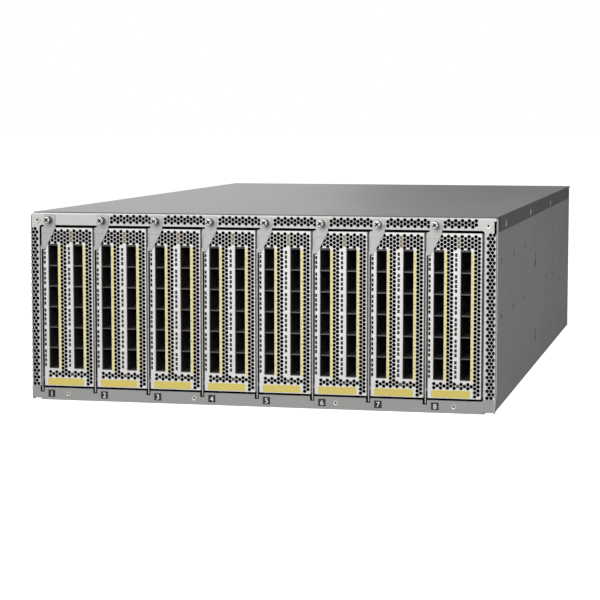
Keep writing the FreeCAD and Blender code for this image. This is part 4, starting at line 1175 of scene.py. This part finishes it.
@dataclass
class Housing:
    """Finishes of the cover, the tub and the rear modules, and the studs on the cover."""

    def studs(self) -> Piece:
        """Small clinched stud heads on the cover."""
        top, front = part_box("top_cover")[1][2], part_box("front_bezel")[0][1]
        made = []
        for x, setback in ((-127, 267), (127, 267), (-81, 335), (81, 335), (-4, 280), (179, 431)):
            made.append(prism("stud", 16, mm(1.6), (mm(x), front + mm(setback), top - mm(0.3)), up(mm(0.3))))
        whole = group("cover_studs", made, SCREW_PLATE)
        soften(whole, 30)
        return whole

    def build(self) -> None:
        """Dress the housing."""
        dress_node("top_cover", COVER_ZINC)
        # Painted shade on the cover's flanges and front edge.
        tint(frame["nodes"]["top_cover"], SHADE_ZINC,
             lambda centre, normal: abs(normal.x) > FACING or normal.y < -FACING)
        dress_node("chassis_tub", BODY_ZINC)
        dress_node("rear_frame", BODY_ZINC)
        dress_node("midplane", BOARD_GREEN)
        dress_node("card_guides", GUIDE_AND_SHADE_BLACK)
        fit(self.studs(), "chassis", "screw_steel")
        for bay in range(1, BAYS + 1):
            dress_node(f"psu_{bay}_body", MODULE_ZINC)
            dress_node(f"psu_{bay}_latch", LATCH_ORANGE)
            dress_node(f"fan_{bay}_tray", TRAY_BLACK)
            dress_node(f"fan_{bay}_rotor", ROTOR_BLACK)


# ---------------------------------------------------------------- studio

def looking(place: Point, aim: Point) -> Matrix:
    """Stand at a place and look along -Z at a point."""
    turn = (Vector(aim) - Vector(place)).to_track_quat("-Z", "Y").to_matrix().to_4x4()
    return Matrix.Translation(Vector(place)) @ turn


def split_by_ray(tree: bpy.types.NodeTree, lit: bpy.types.Node, seen: bpy.types.Node, end: str) -> None:
    """Show one shader to the camera and another to every other ray, and feed the output node."""
    path = add_node(tree, "ShaderNodeLightPath")
    pick = add_node(tree, "ShaderNodeMixShader", None,
                    {"0": path.outputs["Is Camera Ray"], "1": lit.outputs[0], "2": seen.outputs[0]})
    add_node(tree, end, None, {"Surface": pick.outputs[0]})


@dataclass
class Studio:
    """Pale floor, soft lamps and the camera."""

    front: float = -0.381
    target: Point = (0.0406, 0.0, 0.0998)
    position: Point = (0.4313, -1.7212, 0.2714)
    roll: float = 0.02
    lens: float = 116.5

    def camera(self) -> None:
        """Place the camera at its measured spot in front of the bezel."""
        data = bpy.data.cameras.new("camera")
        data.lens = self.lens
        data.sensor_width = 36.0
        spot = bpy.data.objects.new("camera", data)
        bpy.context.collection.objects.link(spot)
        place, aim = (Vector(point) + Vector(inward(self.front)) for point in (self.position, self.target))
        spot.matrix_world = looking(place, aim) @ Matrix.Rotation(math.radians(self.roll), 4, "Z")
        bpy.context.scene.camera = spot

    def lamp(self, name: str, place: Point, aim: Point, size: float, power: float) -> None:
        """Add a square soft lamp that looks at a point."""
        data = bpy.data.lights.new(name, "AREA")
        data.size = size
        data.energy = power
        spot = bpy.data.objects.new(name, data)
        bpy.context.collection.objects.link(spot)
        spot.matrix_world = looking(place, aim)

    def floor(self) -> None:
        """A pale floor that looks white to the camera and keeps the object's shadow."""
        bpy.ops.object.select_all(action="DESELECT")
        bpy.ops.mesh.primitive_plane_add(size=40, location=(0.0, 0.0, -mm(0.2)))
        plane = bpy.context.object
        plane.name = "floor"
        made = bpy.data.materials.new("pale_floor")
        made.use_nodes = True
        tree = made.node_tree
        tree.nodes.clear()
        dim = add_node(tree, "ShaderNodeBsdfDiffuse", {"in:Color": grey(0.22)})
        matt = add_node(tree, "ShaderNodeBsdfDiffuse", {"in:Color": grey(0.62)})
        glow = add_node(tree, "ShaderNodeEmission", {"in:Color": grey(1.0), "in:Strength": 0.95})
        both = add_node(tree, "ShaderNodeAddShader", None, {"0": matt.outputs[0], "1": glow.outputs[0]})
        split_by_ray(tree, dim, both, "ShaderNodeOutputMaterial")
        plane.data.materials.append(made)

    def world(self) -> None:
        """A white surround for the camera and a plain grey one for the light."""
        scene = bpy.context.scene
        scene.world = scene.world or bpy.data.worlds.new("surround")
        scene.world.use_nodes = True
        tree = scene.world.node_tree
        tree.nodes.clear()
        dim = add_node(tree, "ShaderNodeBackground", {"in:Color": grey(1.0), "in:Strength": 0.2})
        white = add_node(tree, "ShaderNodeBackground", {"in:Color": grey(1.0), "in:Strength": 1.0})
        split_by_ray(tree, dim, white, "ShaderNodeOutputWorld")
        scene.view_settings.view_transform = "Standard"

    def build(self) -> None:
        """Set up the studio."""
        self.camera()
        self.floor()
        self.world()
        self.lamp("key_front_left", (-0.15, -2.6, 1.1), (0.0, -0.381, 0.09), 1.5, 50.0)
        self.lamp("top_left", (-1.1, -0.2, 1.3), (-0.1, 0.0, 0.1), 0.9, 7.0)
        self.lamp("back_left", (-1.3, 2.7, 0.75), (-0.1, 0.0, 0.1), 1.6, 12.5)
        self.lamp("side_fill", (2.4, -0.3, 0.5), (0.2, 0.0, 0.12), 1.0, 34.0)


def main() -> None:
    """Build the dressed switch, piece by piece, and note its size."""
    logging.basicConfig(level=logging.INFO, format="%(message)s")
    Studio().build()
    card = PortCard()
    card.build()
    EjectorLever().build(card.pitch)
    Thumbscrew().build(card.pitch)
    FrontBezel().build()
    Housing().build()


if __name__ == "__main__":
    main()
